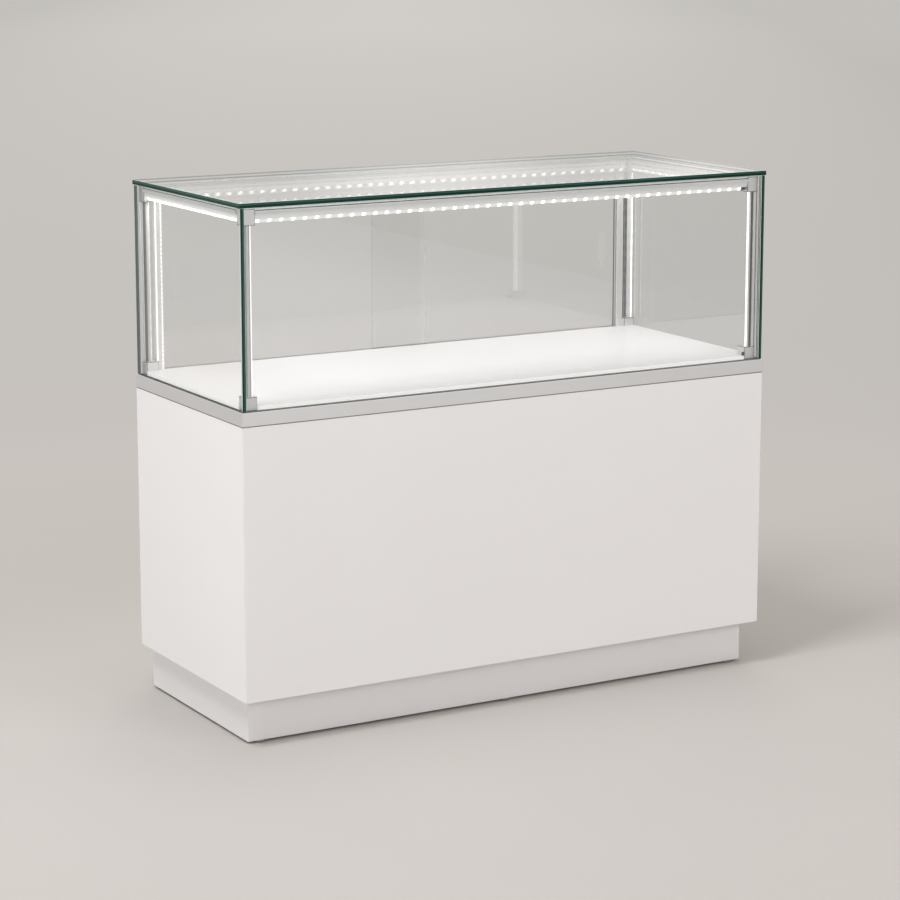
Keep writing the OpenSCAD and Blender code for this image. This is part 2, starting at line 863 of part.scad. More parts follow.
// The strips that seat the glass walls and the pads that seat the blocks
module base_seals() {
  front_l = 2 * (side_glass_x - seam);
  color("dimgray") {
    translate([-front_l / 2, front_glass_y - glass_t + seal_in, z_deck_top]) cube([front_l, seal_w, seal_t]);
    both_sides() translate([side_glass_x + seal_in, -case_d / 2 + glass_set, z_deck_top])
      cube([seal_w, case_d - 2 * glass_set, seal_t]);
    at_corners() difference() {
      translate([frame_set, frame_set, z_deck_top])
        cube([block_w - 2 * frame_set, block_w - 2 * frame_set, pad_t]);
      lead_hole(lead_d, wire_in, wire_in, z_deck_top, pad_t);
    }
  }
}

// The gaskets on the rails, under the glass top
module top_gaskets() {
  rear_y = frame_rear - block_w / 2;
  color("silver") {
    for (y = [rail_mid_y, rear_y])
      translate([-span_x / 2, y - gasket_w / 2, z_rail_top]) cube([span_x, gasket_w, gasket_t]);
    both_sides() translate([rail_mid_x - gasket_w / 2, mid_y - span_y / 2, z_rail_top])
      cube([gasket_w, span_y, gasket_t]);
  }
}

// The tapes that bond the glass walls to the posts and rails
module glazing_tape() {
  post_h = z_post_top - z_post;
  tape_in = groove_in + groove_w + frame_set;
  tape_z = z_rail + (rail_h - tape_w) / 2;
  color("lightgray") both_sides() {
    for (rear = [false, true])
      at_corner(true, rear) translate([frame_set - tape_t, tape_in, z_post]) cube([tape_t, tape_w, post_h]);
    at_corner(true, false) translate([tape_in, frame_set - tape_t, z_post]) cube([tape_w, tape_t, post_h]);
    translate([side_glass_x - tape_t, mid_y - span_y / 2, tape_z]) cube([tape_t, span_y, tape_w]);
  }
  color("lightgray") translate([-span_x / 2, front_glass_y, tape_z]) cube([span_x, tape_t, tape_w]);
}

// The frame inside the glass

// A square with its far corner cut at 45 degrees
module core_shape(w, b) {
  polygon([[0, 0], [w, 0], [w, w - b], [w - b, w], [0, w]]);
}

// Draws its children as they are and with their two axes swapped
module both_faces() {
  children();
  mirror([1, -1, 0]) children();
}

// Section of a post's core: a tube with a groove and a hook slot in each face
module core_section() {
  difference() {
    core_shape(core_w, core_bevel);
    translate([core_wall, core_wall]) core_shape(core_in, core_in_bevel);
    both_faces() translate([groove_in, -over]) square([groove_w, groove_deep + over]);
    both_faces() translate([core_w - hook_l, hook_in - cover_fit])
      square([hook_l + over, hook_t + 2 * cover_fit]);
  }
}

module post() {
  color("silver") translate([frame_set, frame_set, z_post])
    linear_extrude(z_post_top - z_post) core_section();
}

module post_front_left() {
  at_corner(false, false) post();
}

module post_front_right() {
  at_corner(true, false) post();
}

module post_rear_left() {
  at_corner(false, true) post();
}

module post_rear_right() {
  at_corner(true, true) post();
}

// Section of a hollow rail over the carrier of its light strip, u across and v up
module rail_section(w, carrier_at) {
  difference() {
    square([w, rail_h]);
    translate([rail_wall, rail_wall]) square([w - 2 * rail_wall, rail_h - 2 * rail_wall]);
  }
  translate([carrier_at, -carrier_h]) difference() {
    square([carrier_w, carrier_h]);
    translate([carrier_lip, -over]) square([carrier_w - 2 * carrier_lip, seat_deep + over]);
  }
}

module rail_front() {
  color("silver") translate([0, -frame_front + frame_set, z_rail])
    along_x(-span_x / 2, span_x) rail_section(rail_w, carrier_in);
}

module rail_rear() {
  color("silver") translate([0, frame_rear - block_w, z_rail])
    along_x(-span_x / 2, span_x) rail_section(block_w, 0);
}

module rail_left() {
  color("silver") translate([-frame_x + frame_set, 0, z_rail])
    along_y(mid_y - span_y / 2, span_y) rail_section(rail_w, carrier_in);
}

module rail_right() {
  mirror([1, 0, 0]) rail_left();
}

// The part of a block that goes into a post
module post_spigot() {
  in = frame_set + core_wall + spigot_fit;
  translate([in, in, 0]) linear_extrude(spigot_l) core_shape(spigot_w, spigot_bevel);
}

module base_blocks() {
  base_z = z_deck_top + pad_t;
  color("silver") at_corners() difference() {
    union() {
      translate([0, 0, base_z]) linear_extrude(base_block_h) round_square(block_w, block_w, block_r);
      translate([0, 0, z_post]) post_spigot();
    }
    lead_hole(lead_d, wire_in, wire_in, base_z, base_block_h);
  }
}

// The part of a block that goes into a rail, along X, for a rail set in by set
module rail_spigot(w, set) {
  in = rail_wall + spigot_fit;
  translate([block_w, set + in, z_rail + in]) cube([spigot_l, w - 2 * in, rail_h - 2 * in]);
}

module top_blocks() {
  color("silver") for (rear = [false, true])
    for (right = [false, true])
      at_corner(right, rear) {
        translate([0, 0, z_post_top]) linear_extrude(top_block_h) round_square(block_w, block_w, block_r);
        translate([0, 0, z_post_top - spigot_l]) post_spigot();
        rail_spigot(rear ? block_w : rail_w, rear ? 0 : frame_set);
        mirror([1, -1, 0]) rail_spigot(rail_w, frame_set);
      }
}

// The lighting

// A square with its far corner rounded
module cover_shape(w, r) {
  square([w, w - r]);
  square([w - r, w]);
  translate([w - r, w - r]) circle(r);
}

module post_light_covers() {
  color("ivory") at_corners() translate([frame_set, frame_set, z_post])
    linear_extrude(z_post_top - z_post) {
      difference() {
        cover_shape(post_w, cover_r);
        translate([cover_t, cover_t]) cover_shape(post_w - 2 * cover_t, cover_r - cover_t);
        square([core_w + cover_fit, core_w + cover_fit]);
      }
      both_faces() translate([core_w + cover_fit - hook_l, hook_in]) square([hook_l, hook_t]);
    }
}

module post_light_strips() {
  face = core_w - core_bevel / 2;
  color("ivory") at_corners() translate([frame_set + face, frame_set + face, z_post]) rotate(45)
    translate([0, -post_led_w / 2, led_end]) cube([led_t, post_led_w, z_post_top - z_post - 2 * led_end]);
}

// A light strip along X with its lights below, its seat at z = 0
module light_strip(len) {
  count = floor((len - led_d) / led_pitch);
  translate([0, -led_w / 2, -led_t]) cube([len, led_w, led_t]);
  for (i = [0:count])
    translate([len / 2 + (i - count / 2) * led_pitch, 0, -led_t - led_h])
      cylinder(d1 = led_tip, d2 = led_d, h = led_h, $fn = 24);
}

module rail_light_strips() {
  rear_y = frame_rear - block_w + carrier_w / 2;
  color("ivory") {
    translate([-span_x / 2 + led_end, rail_mid_y, z_led]) light_strip(span_x - 2 * led_end - feed_l);
    translate([-span_x / 2 + led_end, rear_y, z_led]) light_strip(span_x - 2 * led_end);
    both_sides() translate([rail_mid_x, mid_y - span_y / 2 + led_end, z_led]) rotate(90)
      light_strip(span_y - 2 * led_end);
  }
}

// The plugs at the right end of the front strip and at the foot of the front right post
module light_plugs() {
  color("black") {
    translate([span_x / 2 - led_end - feed_l, rail_mid_y - led_w / 2, z_led - led_t - feed_h])
      cube([feed_l, led_w, led_t + feed_h]);
    translate([span_x / 2 - foot_plug_w, -frame_front + frame_set, z_field])
      cube([foot_plug_w, foot_plug_w, foot_plug_h]);
  }
}

// The sliding glass doors and their tracks

// Section of a track with its two slots open upwards
module track_section(h) {
  difference() {
    square([track_d, h]);
    for (i = [0, 1])
      translate([track_wall + i * (slot_w + track_web), track_floor]) square([slot_w, h]);
  }
}

module door_tracks() {
  color("silver") {
    translate([0, track_y0, z_deck_top]) along_x(-channel_x, 2 * channel_x)
      track_section(low_track_h);
    translate([0, track_y0, z_rail]) mirror([0, 0, 1]) along_x(-channel_x, 2 * channel_x)
      track_section(high_track_h);
  }
}

module end_channels() {
  color("silver") both_sides()
    translate([channel_x + channel_w, track_y0, z_deck_top]) rotate(90)
      linear_extrude(z_rail - z_deck_top) track_section(channel_w);
}

// A door that closes to the right, in the slot at y
module slide_pane(y) {
  color("paleturquoise", 0.4) difference() {
    translate([slide_edge - slide_w, y - slide_t / 2, slide_z0])
      pane([slide_w, slide_t, slide_z1 - slide_z0], slide_bevel);
    translate([slide_edge - grip_in, y + slide_t / 2 + over, grip_z]) rotate([90, 0, 0])
      linear_extrude(grip_deep + over) {
        square([grip_w, grip_h - grip_w], center = true);
        for (end = [-1, 1])
          translate([0, end * (grip_h - grip_w) / 2]) circle(d = grip_w);
      }
  }
}

module slide_shoes(y) {
  shoe_w = slide_t + 2 * shoe_wall;
  shoe_z = slide_z0 - shoe_base;
  color("white")
    for (x = [slide_edge - slide_w + shoe_in, slide_edge - shoe_in - shoe_l])
      translate([x, y - shoe_w / 2, shoe_z]) difference() {
        cube([shoe_l, shoe_w, shoe_h]);
        translate([-over, shoe_wall, shoe_base]) cube([shoe_l + 2 * over, slide_t, shoe_h]);
      }
}

module sliding_glass_right() {
  slide_pane(slot_y[1]);
}

module sliding_glass_left() {
  mirror([1, 0, 0]) slide_pane(slot_y[0]);
}

module door_shoes_right() {
  slide_shoes(slot_y[1]);
}

module door_shoes_left() {
  mirror([1, 0, 0]) slide_shoes(slot_y[0]);
}

// The power inlet with its switch, the driver and the leads

module socket_shape() {
  polygon([
    [-socket_w / 2, -socket_h / 2], [socket_w / 2, -socket_h / 2],
    [socket_w / 2, socket_h / 2 - socket_bevel], [socket_w / 2 - socket_bevel, socket_h / 2],
    [-socket_w / 2 + socket_bevel, socket_h / 2], [-socket_w / 2, socket_h / 2 - socket_bevel]
  ]);
}

module inlet_blades() {
  for (i = [-1, 0, 1])
    translate([socket_x + i * blade_step - blade_t / 2, -socket_deep - over,
               i == 0 ? blade_drop - blade_w / 2 : -blade_drop - blade_w / 2])
      cube([blade_t, blade_l + over, blade_w]);
}

module power_inlet() {
  rim_w = body_w + 2 * inlet_rim;
  rim_h = inlet_body_h + 2 * inlet_rim;
  color("dimgray") translate([inlet_x, inlet_y1, inlet_z]) {
    difference() {
      union() {
        translate([-rim_w / 2, -inlet_rim_t, -rim_h / 2]) cube([rim_w, inlet_rim_t, rim_h]);
        translate([-body_w / 2, -inlet_deep, -inlet_body_h / 2]) cube([body_w, inlet_deep, inlet_body_h]);
      }
      translate([socket_x, over, 0]) rotate([90, 0, 0]) linear_extrude(socket_deep + over) socket_shape();
      translate([rocker_x - rocker_w / 2, -rocker_deep, -rocker_h / 2])
        cube([rocker_w, rocker_deep + over, rocker_h]);
      translate([rocker_x - rocker_w / 2 - stud_l - rocker_gap, rocker_y - inlet_y1, 0]) rotate([0, 90, 0])
        cylinder(d = stud_d + 2 * run_fit, h = rocker_w + 2 * (stud_l + rocker_gap));
    }
    inlet_blades();
  }
}

// The rocker turns on two studs in the inlet's walls, and its upper end is pressed in
module switch_rocker() {
  half = rocker_h / 2 - 2 * rocker_gap;
  w = rocker_w - 2 * rocker_gap;
  rise = 2.6;
  dip = 1.4;
  heel = 3.5;
  color("black") translate([inlet_x + rocker_x, rocker_y, inlet_z]) rotate([rocker_tilt, 0, 0]) {
    translate([-w / 2, 0, 0]) rotate([90, 0, 90]) linear_extrude(w)
      polygon([[0, -half], [rise, -half], [dip, 0], [rise, half], [0, half], [-heel, heel], [-heel, -heel]]);
    translate([-w / 2 - stud_l, 0, 0]) rotate([0, 90, 0]) cylinder(d = stud_d, h = w + 2 * stud_l);
  }
}

module light_driver() {
  lug_y = driver_y0 + driver_w / 2;
  color("gainsboro") difference() {
    union() {
      translate([driver_x0, driver_y0, z_floor_top]) cube([driver_l, driver_w, driver_h]);
      translate([driver_x0 - lug_l, driver_y0, z_floor_top]) cube([driver_l + 2 * lug_l, driver_w, lug_t]);
    }
    for (x = [driver_x0 - lug_l / 2, driver_x1 + lug_l / 2])
      translate([x, lug_y, z_floor_top - over]) cylinder(d = lug_d, h = lug_t + 2 * over);
  }
}

// A quarter bend of a lead round the origin, from +X to +Y
module quarter_bend(d, r) {
  rotate_extrude(angle = 90) translate([r, 0]) circle(d = d, $fn = lead_fn);
}

// A straight run of a lead, from the origin up
module lead_run(d, len) {
  cylinder(d = d, h = len, $fn = lead_fn);
}

// The lead from the driver, round a bend and up through the deck to the front right post
module light_lead() {
  rise_x = wire_x - lead_bend;
  rise_z = lead_z + lead_bend;
  translate([driver_x1, wire_y, lead_z]) rotate([0, 90, 0]) lead_run(lead_d, rise_x - driver_x1);
  translate([rise_x, wire_y, rise_z]) rotate([90, 90, 0]) quarter_bend(lead_d, lead_bend);
  translate([wire_x, wire_y, rise_z]) lead_run(lead_d, z_post + led_end - rise_z);
}

// The lead from the inlet, under the cabinet, up through its floor and into the driver
module mains_lead() {
  low_y = mains_y + mains_bend;
  back_y = inlet_y1 - inlet_deep;
  up_z0 = inlet_z + mains_bend;
  up_z1 = lead_z - mains_bend;
  translate([inlet_x, low_y, inlet_z]) rotate([-90, 0, 0]) lead_run(mains_d, back_y - low_y);
  translate([inlet_x, low_y, up_z0]) rotate([0, 90, 0]) rotate(-90) quarter_bend(mains_d, mains_bend);
  translate([inlet_x, mains_y, up_z0]) lead_run(mains_d, up_z1 - up_z0);
  translate([inlet_x, mains_y - mains_bend, up_z1]) rotate([0, -90, 0]) quarter_bend(mains_d, mains_bend);
  translate([inlet_x, driver_y0 + driver_w, lead_z]) rotate([-90, 0, 0]) lead_run(mains_d, mains_straight);
}

module internal_leads() {
  color("black") {
    light_lead();
    mains_lead();
  }
}

plinth_front();
plinth_rear();
plinth_left();
plinth_right();
plinth_braces();
foot_glides();
cabinet_floor();
cabinet_top();
front_panel();
side_panel_left();
side_panel_right();
centre_divider();
shelves();
shelf_pins();
door_stop_rails();
pivot_pins();
storage_door_left();
storage_door_right();
flush_pull_left();
flush_pull_right();
lock_barrel_left();
lock_barrel_right();
lock_cam_left();
lock_cam_right();
band_front();
band_rear();
band_left();
band_right();
deck_panel();
glass_front();
glass_left();
glass_right();
glass_top();
base_seals();
top_gaskets();
glazing_tape();
post_front_left();
post_front_right();
post_rear_left();
post_rear_right();
rail_front();
rail_rear();
rail_left();
rail_right();
base_blocks();
top_blocks();
post_light_covers();
post_light_strips();
rail_light_strips();
light_plugs();
door_tracks();
end_channels();
sliding_glass_left();
sliding_glass_right();
door_shoes_left();
door_shoes_right();
power_inlet();
switch_rocker();
light_driver();
internal_leads();
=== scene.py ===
import json
import math

import bpy
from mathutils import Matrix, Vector


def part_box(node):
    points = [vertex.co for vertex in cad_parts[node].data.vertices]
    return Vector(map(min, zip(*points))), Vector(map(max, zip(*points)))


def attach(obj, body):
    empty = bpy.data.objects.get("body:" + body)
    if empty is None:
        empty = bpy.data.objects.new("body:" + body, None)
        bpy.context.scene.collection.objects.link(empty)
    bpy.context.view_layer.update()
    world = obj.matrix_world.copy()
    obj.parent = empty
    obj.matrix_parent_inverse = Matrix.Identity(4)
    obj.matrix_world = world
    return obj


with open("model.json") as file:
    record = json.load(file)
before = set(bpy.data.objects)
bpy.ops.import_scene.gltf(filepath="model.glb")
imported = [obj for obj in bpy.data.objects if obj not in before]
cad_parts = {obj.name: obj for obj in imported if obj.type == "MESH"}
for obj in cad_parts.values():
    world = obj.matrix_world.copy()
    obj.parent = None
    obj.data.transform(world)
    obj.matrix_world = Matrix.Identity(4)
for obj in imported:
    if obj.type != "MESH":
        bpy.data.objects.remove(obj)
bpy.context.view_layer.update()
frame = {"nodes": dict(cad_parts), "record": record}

MM = 0.001
SLOTS = {part["node"]: part["material_slot"] for part in frame["record"]["subparts"]}


# Node graphs


NOISE_LOW, NOISE_HIGH = 0.3, 0.7


def rgb(red, green, blue):
    return (red, green, blue, 1.0)


def shade(colour, share):
    return rgb(*(part * share for part in colour[:3]))


BLACK = rgb(0, 0, 0)


class Graph:
    """The nodes of a material or of the world. An input is a value or another node's socket, and a
    level is a value from 0 to 1, where a question is answered with 1 for yes."""

    def __init__(self, owner):
        self.owner = owner
        owner.use_nodes = True
        self.tree = owner.node_tree
        self.tree.nodes.clear()

    def put(self, socket, value):
        if isinstance(value, bpy.types.NodeSocket):
            self.tree.links.new(value, socket)
        else:
            socket.default_value = value

    def node(self, kind, inputs=None, **settings):
        made = self.tree.nodes.new("ShaderNode" + kind)
        for name, value in settings.items():
            setattr(made, name, value)
        for name, value in (inputs or {}).items():
            self.put(made.inputs[name], value)
        return made

    def math(self, operation, *values, clamp=False):
        inputs = dict(enumerate(values))
        return self.node("Math", inputs, operation=operation, use_clamp=clamp).outputs[0]

    def minus(self, value, other):
        return self.math("SUBTRACT", value, other)

    def size(self, value):
        return self.math("ABSOLUTE", value)

    def apart(self, value, place):
        """How far a value is from a place, on either side."""
        return self.size(self.minus(value, place))

    def above(self, value, limit):
        return self.math("GREATER_THAN", value, limit)

    def below(self, value, limit):
        return self.math("LESS_THAN", value, limit)

    def inverse(self, level):
        return self.minus(1.0, level)

    def product(self, first, *others):
        for other in others:
            first = self.math("MULTIPLY", first, other)
        return first

    def largest(self, first, *others):
        for other in others:
            first = self.math("MAXIMUM", first, other)
        return first

    def wave(self, value, pitch, low=0.0):
        """A level that swells from low to 1 and back along a value, with its crests a pitch apart."""
        cosine = self.math("COSINE", self.product(value, 2 * math.pi / pitch))
        return self.remap(cosine, -1.0, 1.0, low, 1.0)

    def remap(self, value, low, high, to_low=0.0, to_high=1.0, smooth=False):
        kind = "SMOOTHSTEP" if smooth else "LINEAR"
        inputs = {"Value": value, "From Min": low, "From Max": high, "To Min": to_low, "To Max": to_high}
        return self.node("MapRange", inputs, interpolation_type=kind).outputs["Result"]

    def spread(self, pattern, to_low=0.0, to_high=1.0):
        """A noise's usual range, drawn out to another."""
        return self.remap(pattern, NOISE_LOW, NOISE_HIGH, to_low, to_high)

    def blend(self, factor, first, second):
        return self.node("Mix", {0: factor, 6: first, 7: second}, data_type="RGBA").outputs[2]

    def blend_value(self, factor, first, second):
        return self.node("Mix", {0: factor, 2: first, 3: second}, data_type="FLOAT").outputs[0]

    def tinted(self, colour, level):
        return self.node("VectorMath", {0: colour, 1: level}, operation="MULTIPLY").outputs[0]

    def mottled(self, pattern, colour, low, high=1.0):
        """A colour that a noise varies between two shares of it."""
        return self.blend(self.spread(pattern), shade(colour, low), shade(colour, high))

    def lit(self, level):
        """The strips' light at a level, as a colour to glow in."""
        return self.blend(level, BLACK, LIT_WHITE)

    def place(self, scale=(1, 1, 1)):
        """The point on the piece, in its own frame, with each axis scaled."""
        point = self.node("TexCoord").outputs["Object"]
        return self.node("VectorMath", {0: point, 1: scale}, operation="MULTIPLY").outputs[0]

    def axes(self, vector):
        return self.node("SeparateXYZ", {0: vector}).outputs

    def point(self):
        return self.axes(self.place())

    def normal(self, kind="True Normal"):
        return self.axes(self.node("NewGeometry").outputs[kind])

    def noise(self, scale, detail=2.0, roughness=0.5, stretch=(1, 1, 1)):
        inputs = {"Vector": self.place(stretch), "Scale": scale, "Detail": detail, "Roughness": roughness}
        return self.node("TexNoise", inputs).outputs["Fac"]

    def lines(self, along, across=900.0, length=4.0, roughness=0.65):
        """Fine lines along an axis, as an extrusion or a brushed sheet has them."""
        stretch = [across] * 3
        stretch["xyz".index(along)] = length
        return self.noise(1.0, 3.0, roughness, stretch)

    def ramp(self, value, stops):
        """Colours along a value from 0 to 1, from stops of (place, colour)."""
        node = self.node("ValToRGB", {0: value})
        elements = node.color_ramp.elements
        for place, _ in stops[1:-1]:
            elements.new(place)
        for element, (place, colour) in zip(elements, stops):
            element.position = place
            element.color = colour
        return node.outputs["Color"]

    def stripes(self, value, stops):
        """Levels along a value, from stops of (place in mm, level)."""
        reach = stops[-1][0]
        greys = [(place / reach, rgb(level, level, level)) for place, level in stops]
        return self.ramp(self.math("DIVIDE", value, reach * MM), greys)

    def bump(self, height, depth, normal):
        return self.node("Bump", {"Height": height, "Distance": depth, "Normal": normal}).outputs["Normal"]

    def relief(self, height, depth, edge):
        """A normal with fine relief, and with edges rounded to a radius."""
        rounded = self.node("Bevel", {"Radius": edge}, samples=4).outputs["Normal"]
        return self.bump(height, depth, rounded)

    def shader(self, **inputs):
        """A Principled shader. Its inputs are named as the sockets are, with _ for a space."""
        named = {name.replace("_", " "): value for name, value in inputs.items()}
        return self.node("BsdfPrincipled", named).outputs["BSDF"]

    def done(self, shader, output="OutputMaterial"):
        self.node(output, {"Surface": shader})
        return self.owner


def new_finish(name):
    return Graph(bpy.data.materials.new(name))


# Boards, plastics and plain metals


WHITE = rgb(0.835, 0.816, 0.818)
ALUMINIUM = rgb(0.79, 0.78, 0.775)
LIT_WHITE = rgb(1.0, 0.985, 0.95)
PLASTIC_IOR = 1.5
GRAIN = 0.02 * MM
FINE_EDGE = 0.4 * MM


def laminate(name, colour, roughness, peel=0.03 * MM, edge=0.6 * MM, painted_side_glow=0.0):
    """Laminated board: cloudy in colour and gloss, with a fine pebbled surface and eased edges.
    The last argument is a painted glow on its upright sides, standing in for the light that they
    would pick up from the strips above them."""
    graph = new_finish(name)
    tone = graph.mottled(graph.noise(2.6, 4.0), colour, 0.985)
    speck = graph.spread(graph.noise(900, 2.0))
    tone = graph.blend(graph.product(speck, 0.25), tone, shade(colour, 0.97))
    wipe = graph.noise(5.0, 5.0, 0.6, (1, 1, 2.4))
    look = {
        "Base_Color": tone,
        "Roughness": graph.remap(wipe, 0.3, 0.75, roughness - 0.035, roughness + 0.045),
        "IOR": PLASTIC_IOR,
        "Normal": graph.bump(
            graph.noise(7.0, 1.0), 0.25 * MM, graph.relief(graph.noise(700, 3.0, 0.6), peel, edge))}
    # Painted light: the upright sides glow as if lit by the strips above.
    if painted_side_glow:
        upright = graph.below(graph.size(graph.normal()[2]), 0.5)
        look["Emission_Color"] = graph.blend(upright, BLACK, shade(LIT_WHITE, painted_side_glow))
        look["Emission_Strength"] = 1.0
    return graph.done(graph.shader(**look))


def moulded(name, colour, roughness, grain_scale=1100):
    """Moulded plastic or rubber with a fine spark-eroded texture."""
    graph = new_finish(name)
    grain = graph.noise(grain_scale, 3.0, 0.6)
    return graph.done(graph.shader(
        Base_Color=graph.mottled(graph.noise(14.0, 3.0), colour, 0.93),
        Roughness=graph.spread(grain, roughness - 0.05, roughness + 0.05),
        IOR=PLASTIC_IOR,
        Normal=graph.relief(grain, 0.03 * MM, FINE_EDGE)))


def steel(name, colour, roughness, across=900.0, length=6.0):
    """Brushed or plated steel."""
    graph = new_finish(name)
    grain = graph.lines("z", across, length)
    return graph.done(graph.shader(
        Base_Color=graph.mottled(grain, colour, 0.9),
        Metallic=1.0,
        Roughness=graph.spread(grain, roughness - 0.05, roughness + 0.07),
        Normal=graph.relief(grain, GRAIN, FINE_EDGE)))


def anodised(name, colour, roughness, along):
    """A satin anodised extrusion with fine die lines along it."""
    graph = new_finish(name)
    grain = graph.lines(along)
    patch = graph.spread(graph.noise(9.0, 3.0))
    tone = graph.mottled(grain, colour, 0.95, 1.03)
    tone = graph.blend(graph.product(patch, 0.5), tone, shade(colour, 0.96))
    return graph.done(graph.shader(
        Base_Color=tone,
        Metallic=0.72,
        Roughness=graph.spread(grain, roughness - 0.04, roughness + 0.06),
        Normal=graph.relief(grain, GRAIN, 0.5 * MM)))


# The light frame, with its places taken from its pieces. SQUARE is how squarely a face looks along
# an axis to count as facing that way, and the metal glow is the strength of the light painted onto
# metal as if from the strips


SQUARE = 0.7
PAINTED_METAL_GLOW = 0.8
covers_low, covers_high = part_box("post_light_covers")
channels_low, channels_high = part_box("end_channels")
CORNER_X, FRONT_Y, REAR_Y = covers_high.x, covers_low.y, covers_high.y
# Levels across a post's faces from its outer corner: painted highlight and painted shade, dark where the
# grooves lie. The left and right posts are painted differently.
LEFT_PAINTED_STRIPES = (
    (0.0, 0.80), (3.6, 0.84), (4.0, 0.07), (8.6, 0.10), (12.4, 0.46), (13.0, 0.80), (15.5, 0.80))
RIGHT_PAINTED_STRIPES = (
    (0.0, 0.55), (5.0, 0.55), (5.4, 0.07), (7.2, 0.07), (7.5, 0.95), (9.0, 0.95), (9.4, 0.06),
    (14.6, 0.09), (15.5, 0.4))


def from_corner(graph, point):
    """How far a point is from the outer corner of its post, along X and along Y, and whether that
    post is a rear one."""
    along_x = graph.minus(CORNER_X, graph.size(point[0]))
    rear = graph.above(point[1], 0.0)
    along_y = graph.blend_value(rear, graph.minus(point[1], FRONT_Y), graph.minus(REAR_Y, point[1]))
    return along_x, along_y, rear


def post_metal(name, colour, stripes):
    """The posts' cores, with painted highlight and painted shade in stripes down each side: bright
    by the beads, dark in the grooves and lit towards the inner edge, placed as the profile is drawn.
    """
    graph = new_finish(name)
    along_x, along_y, _ = from_corner(graph, graph.point())
    on_x = graph.above(graph.size(graph.normal("Normal")[0]), SQUARE)
    painted_shading = graph.stripes(graph.blend_value(on_x, along_x, along_y), stripes)
    grain = graph.lines("z")
    return graph.done(graph.shader(
        Base_Color=graph.tinted(graph.mottled(grain, colour, 0.95, 1.03), painted_shading),
        Metallic=0.6,
        Roughness=0.3,
        Normal=graph.relief(grain, GRAIN, FINE_EDGE)))


blocks_low, blocks_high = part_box("base_blocks")
BLOCK_LEVELS = (blocks_low.z, covers_low.z, covers_high.z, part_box("top_blocks")[1].z)
BLOCK_OUTER, BLOCK_INNER = CORNER_X - blocks_high.x, CORNER_X - channels_high.x
# The width of the painted shade lines along the blocks' edges.
GAP_SHADE_WIDTH = 1.3 * MM


def block_metal(name, colour):
    """Cast corner blocks, blasted all over, with painted shade in thin dark lines along their edges,
    where gaps would hold shade.
    """
    graph = new_finish(name)
    point = graph.point()
    middle, half = (BLOCK_OUTER + BLOCK_INNER) / 2, (BLOCK_INNER - BLOCK_OUTER) / 2
    near = [graph.above(graph.apart(along, middle), half - GAP_SHADE_WIDTH) for along in from_corner(graph, point)[:2]]
    near.append(graph.largest(*(graph.below(graph.apart(point[2], level), GAP_SHADE_WIDTH) for level in BLOCK_LEVELS)))
    flat = [graph.below(graph.size(axis), SQUARE) for axis in graph.normal()]
    # Painted shade: thin dark lines along the blocks' edges.
    painted_gap_shade = graph.largest(*(graph.product(*pair) for pair in zip(flat, near)))
    grain = graph.noise(1500, 3.0, 0.6)
    return graph.done(graph.shader(
        Base_Color=graph.blend(painted_gap_shade, graph.mottled(grain, colour, 0.94, 1.03), shade(colour, 0.30)),
        Metallic=0.72,
        Roughness=graph.spread(grain, 0.32, 0.42),
        Normal=graph.relief(grain, GRAIN, 0.6 * MM)))


# Painted light across the left channel's front, from its outer edge.
CHANNEL_PAINTED_LIGHT = (
    (0.0, 1.0), (3.0, 1.0), (3.8, 0.0), (11.4, 0.0), (12.0, 1.0), (14.8, 1.0), (15.2, 0.0), (16.0, 0.0))
DASH_FROM, DASH_PITCH = 8 * MM, 9 * MM


def channel_metal(name, colour):
    """The doors' end channels, with painted light: the front of the left one glows in stripes from its
    outer edge, of which the inner ones are dashed, and the right one glows on its inner side."""
    graph = new_finish(name)
    point = graph.point()
    facing = graph.normal()
    grain = graph.lines("z")
    from_edge = graph.minus(point[0], channels_low.x)
    is_left = graph.below(point[0], 0.0)
    dash = graph.wave(point[2], DASH_PITCH, 0.35)
    dash = graph.blend_value(graph.above(from_edge, DASH_FROM), 1.0, dash)
    frontways = graph.below(facing[1], -SQUARE)
    on_left = graph.product(graph.stripes(from_edge, CHANNEL_PAINTED_LIGHT), dash, frontways, is_left)
    on_right = graph.product(graph.below(facing[0], -SQUARE), graph.inverse(is_left), 0.45)
    return graph.done(graph.shader(
        Base_Color=graph.mottled(grain, colour, 0.93, 1.02),
        Metallic=0.6,
        Roughness=0.3,
        Normal=graph.relief(grain, GRAIN, FINE_EDGE),
        Emission_Color=graph.lit(graph.math("ADD", on_left, on_right, clamp=True)),
        Emission_Strength=PAINTED_METAL_GLOW))


RAIL_H = 16 * MM
RAIL_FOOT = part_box("rail_front")[1].z - RAIL_H
# By height: painted shade in the rail's groove and a painted highlight on its bead, then the painted glow
# on the inner and outer faces.
RAIL_PAINTED_BEAD = ((0.0, 1.0), (11.6, 1.0), (12.0, 0.10), (13.4, 0.10), (13.7, 1.2), (16.0, 1.2))
RAIL_INNER_PAINTED_GLOW = ((0.0, 0.62), (5.0, 0.44), (16.0, 0.26))


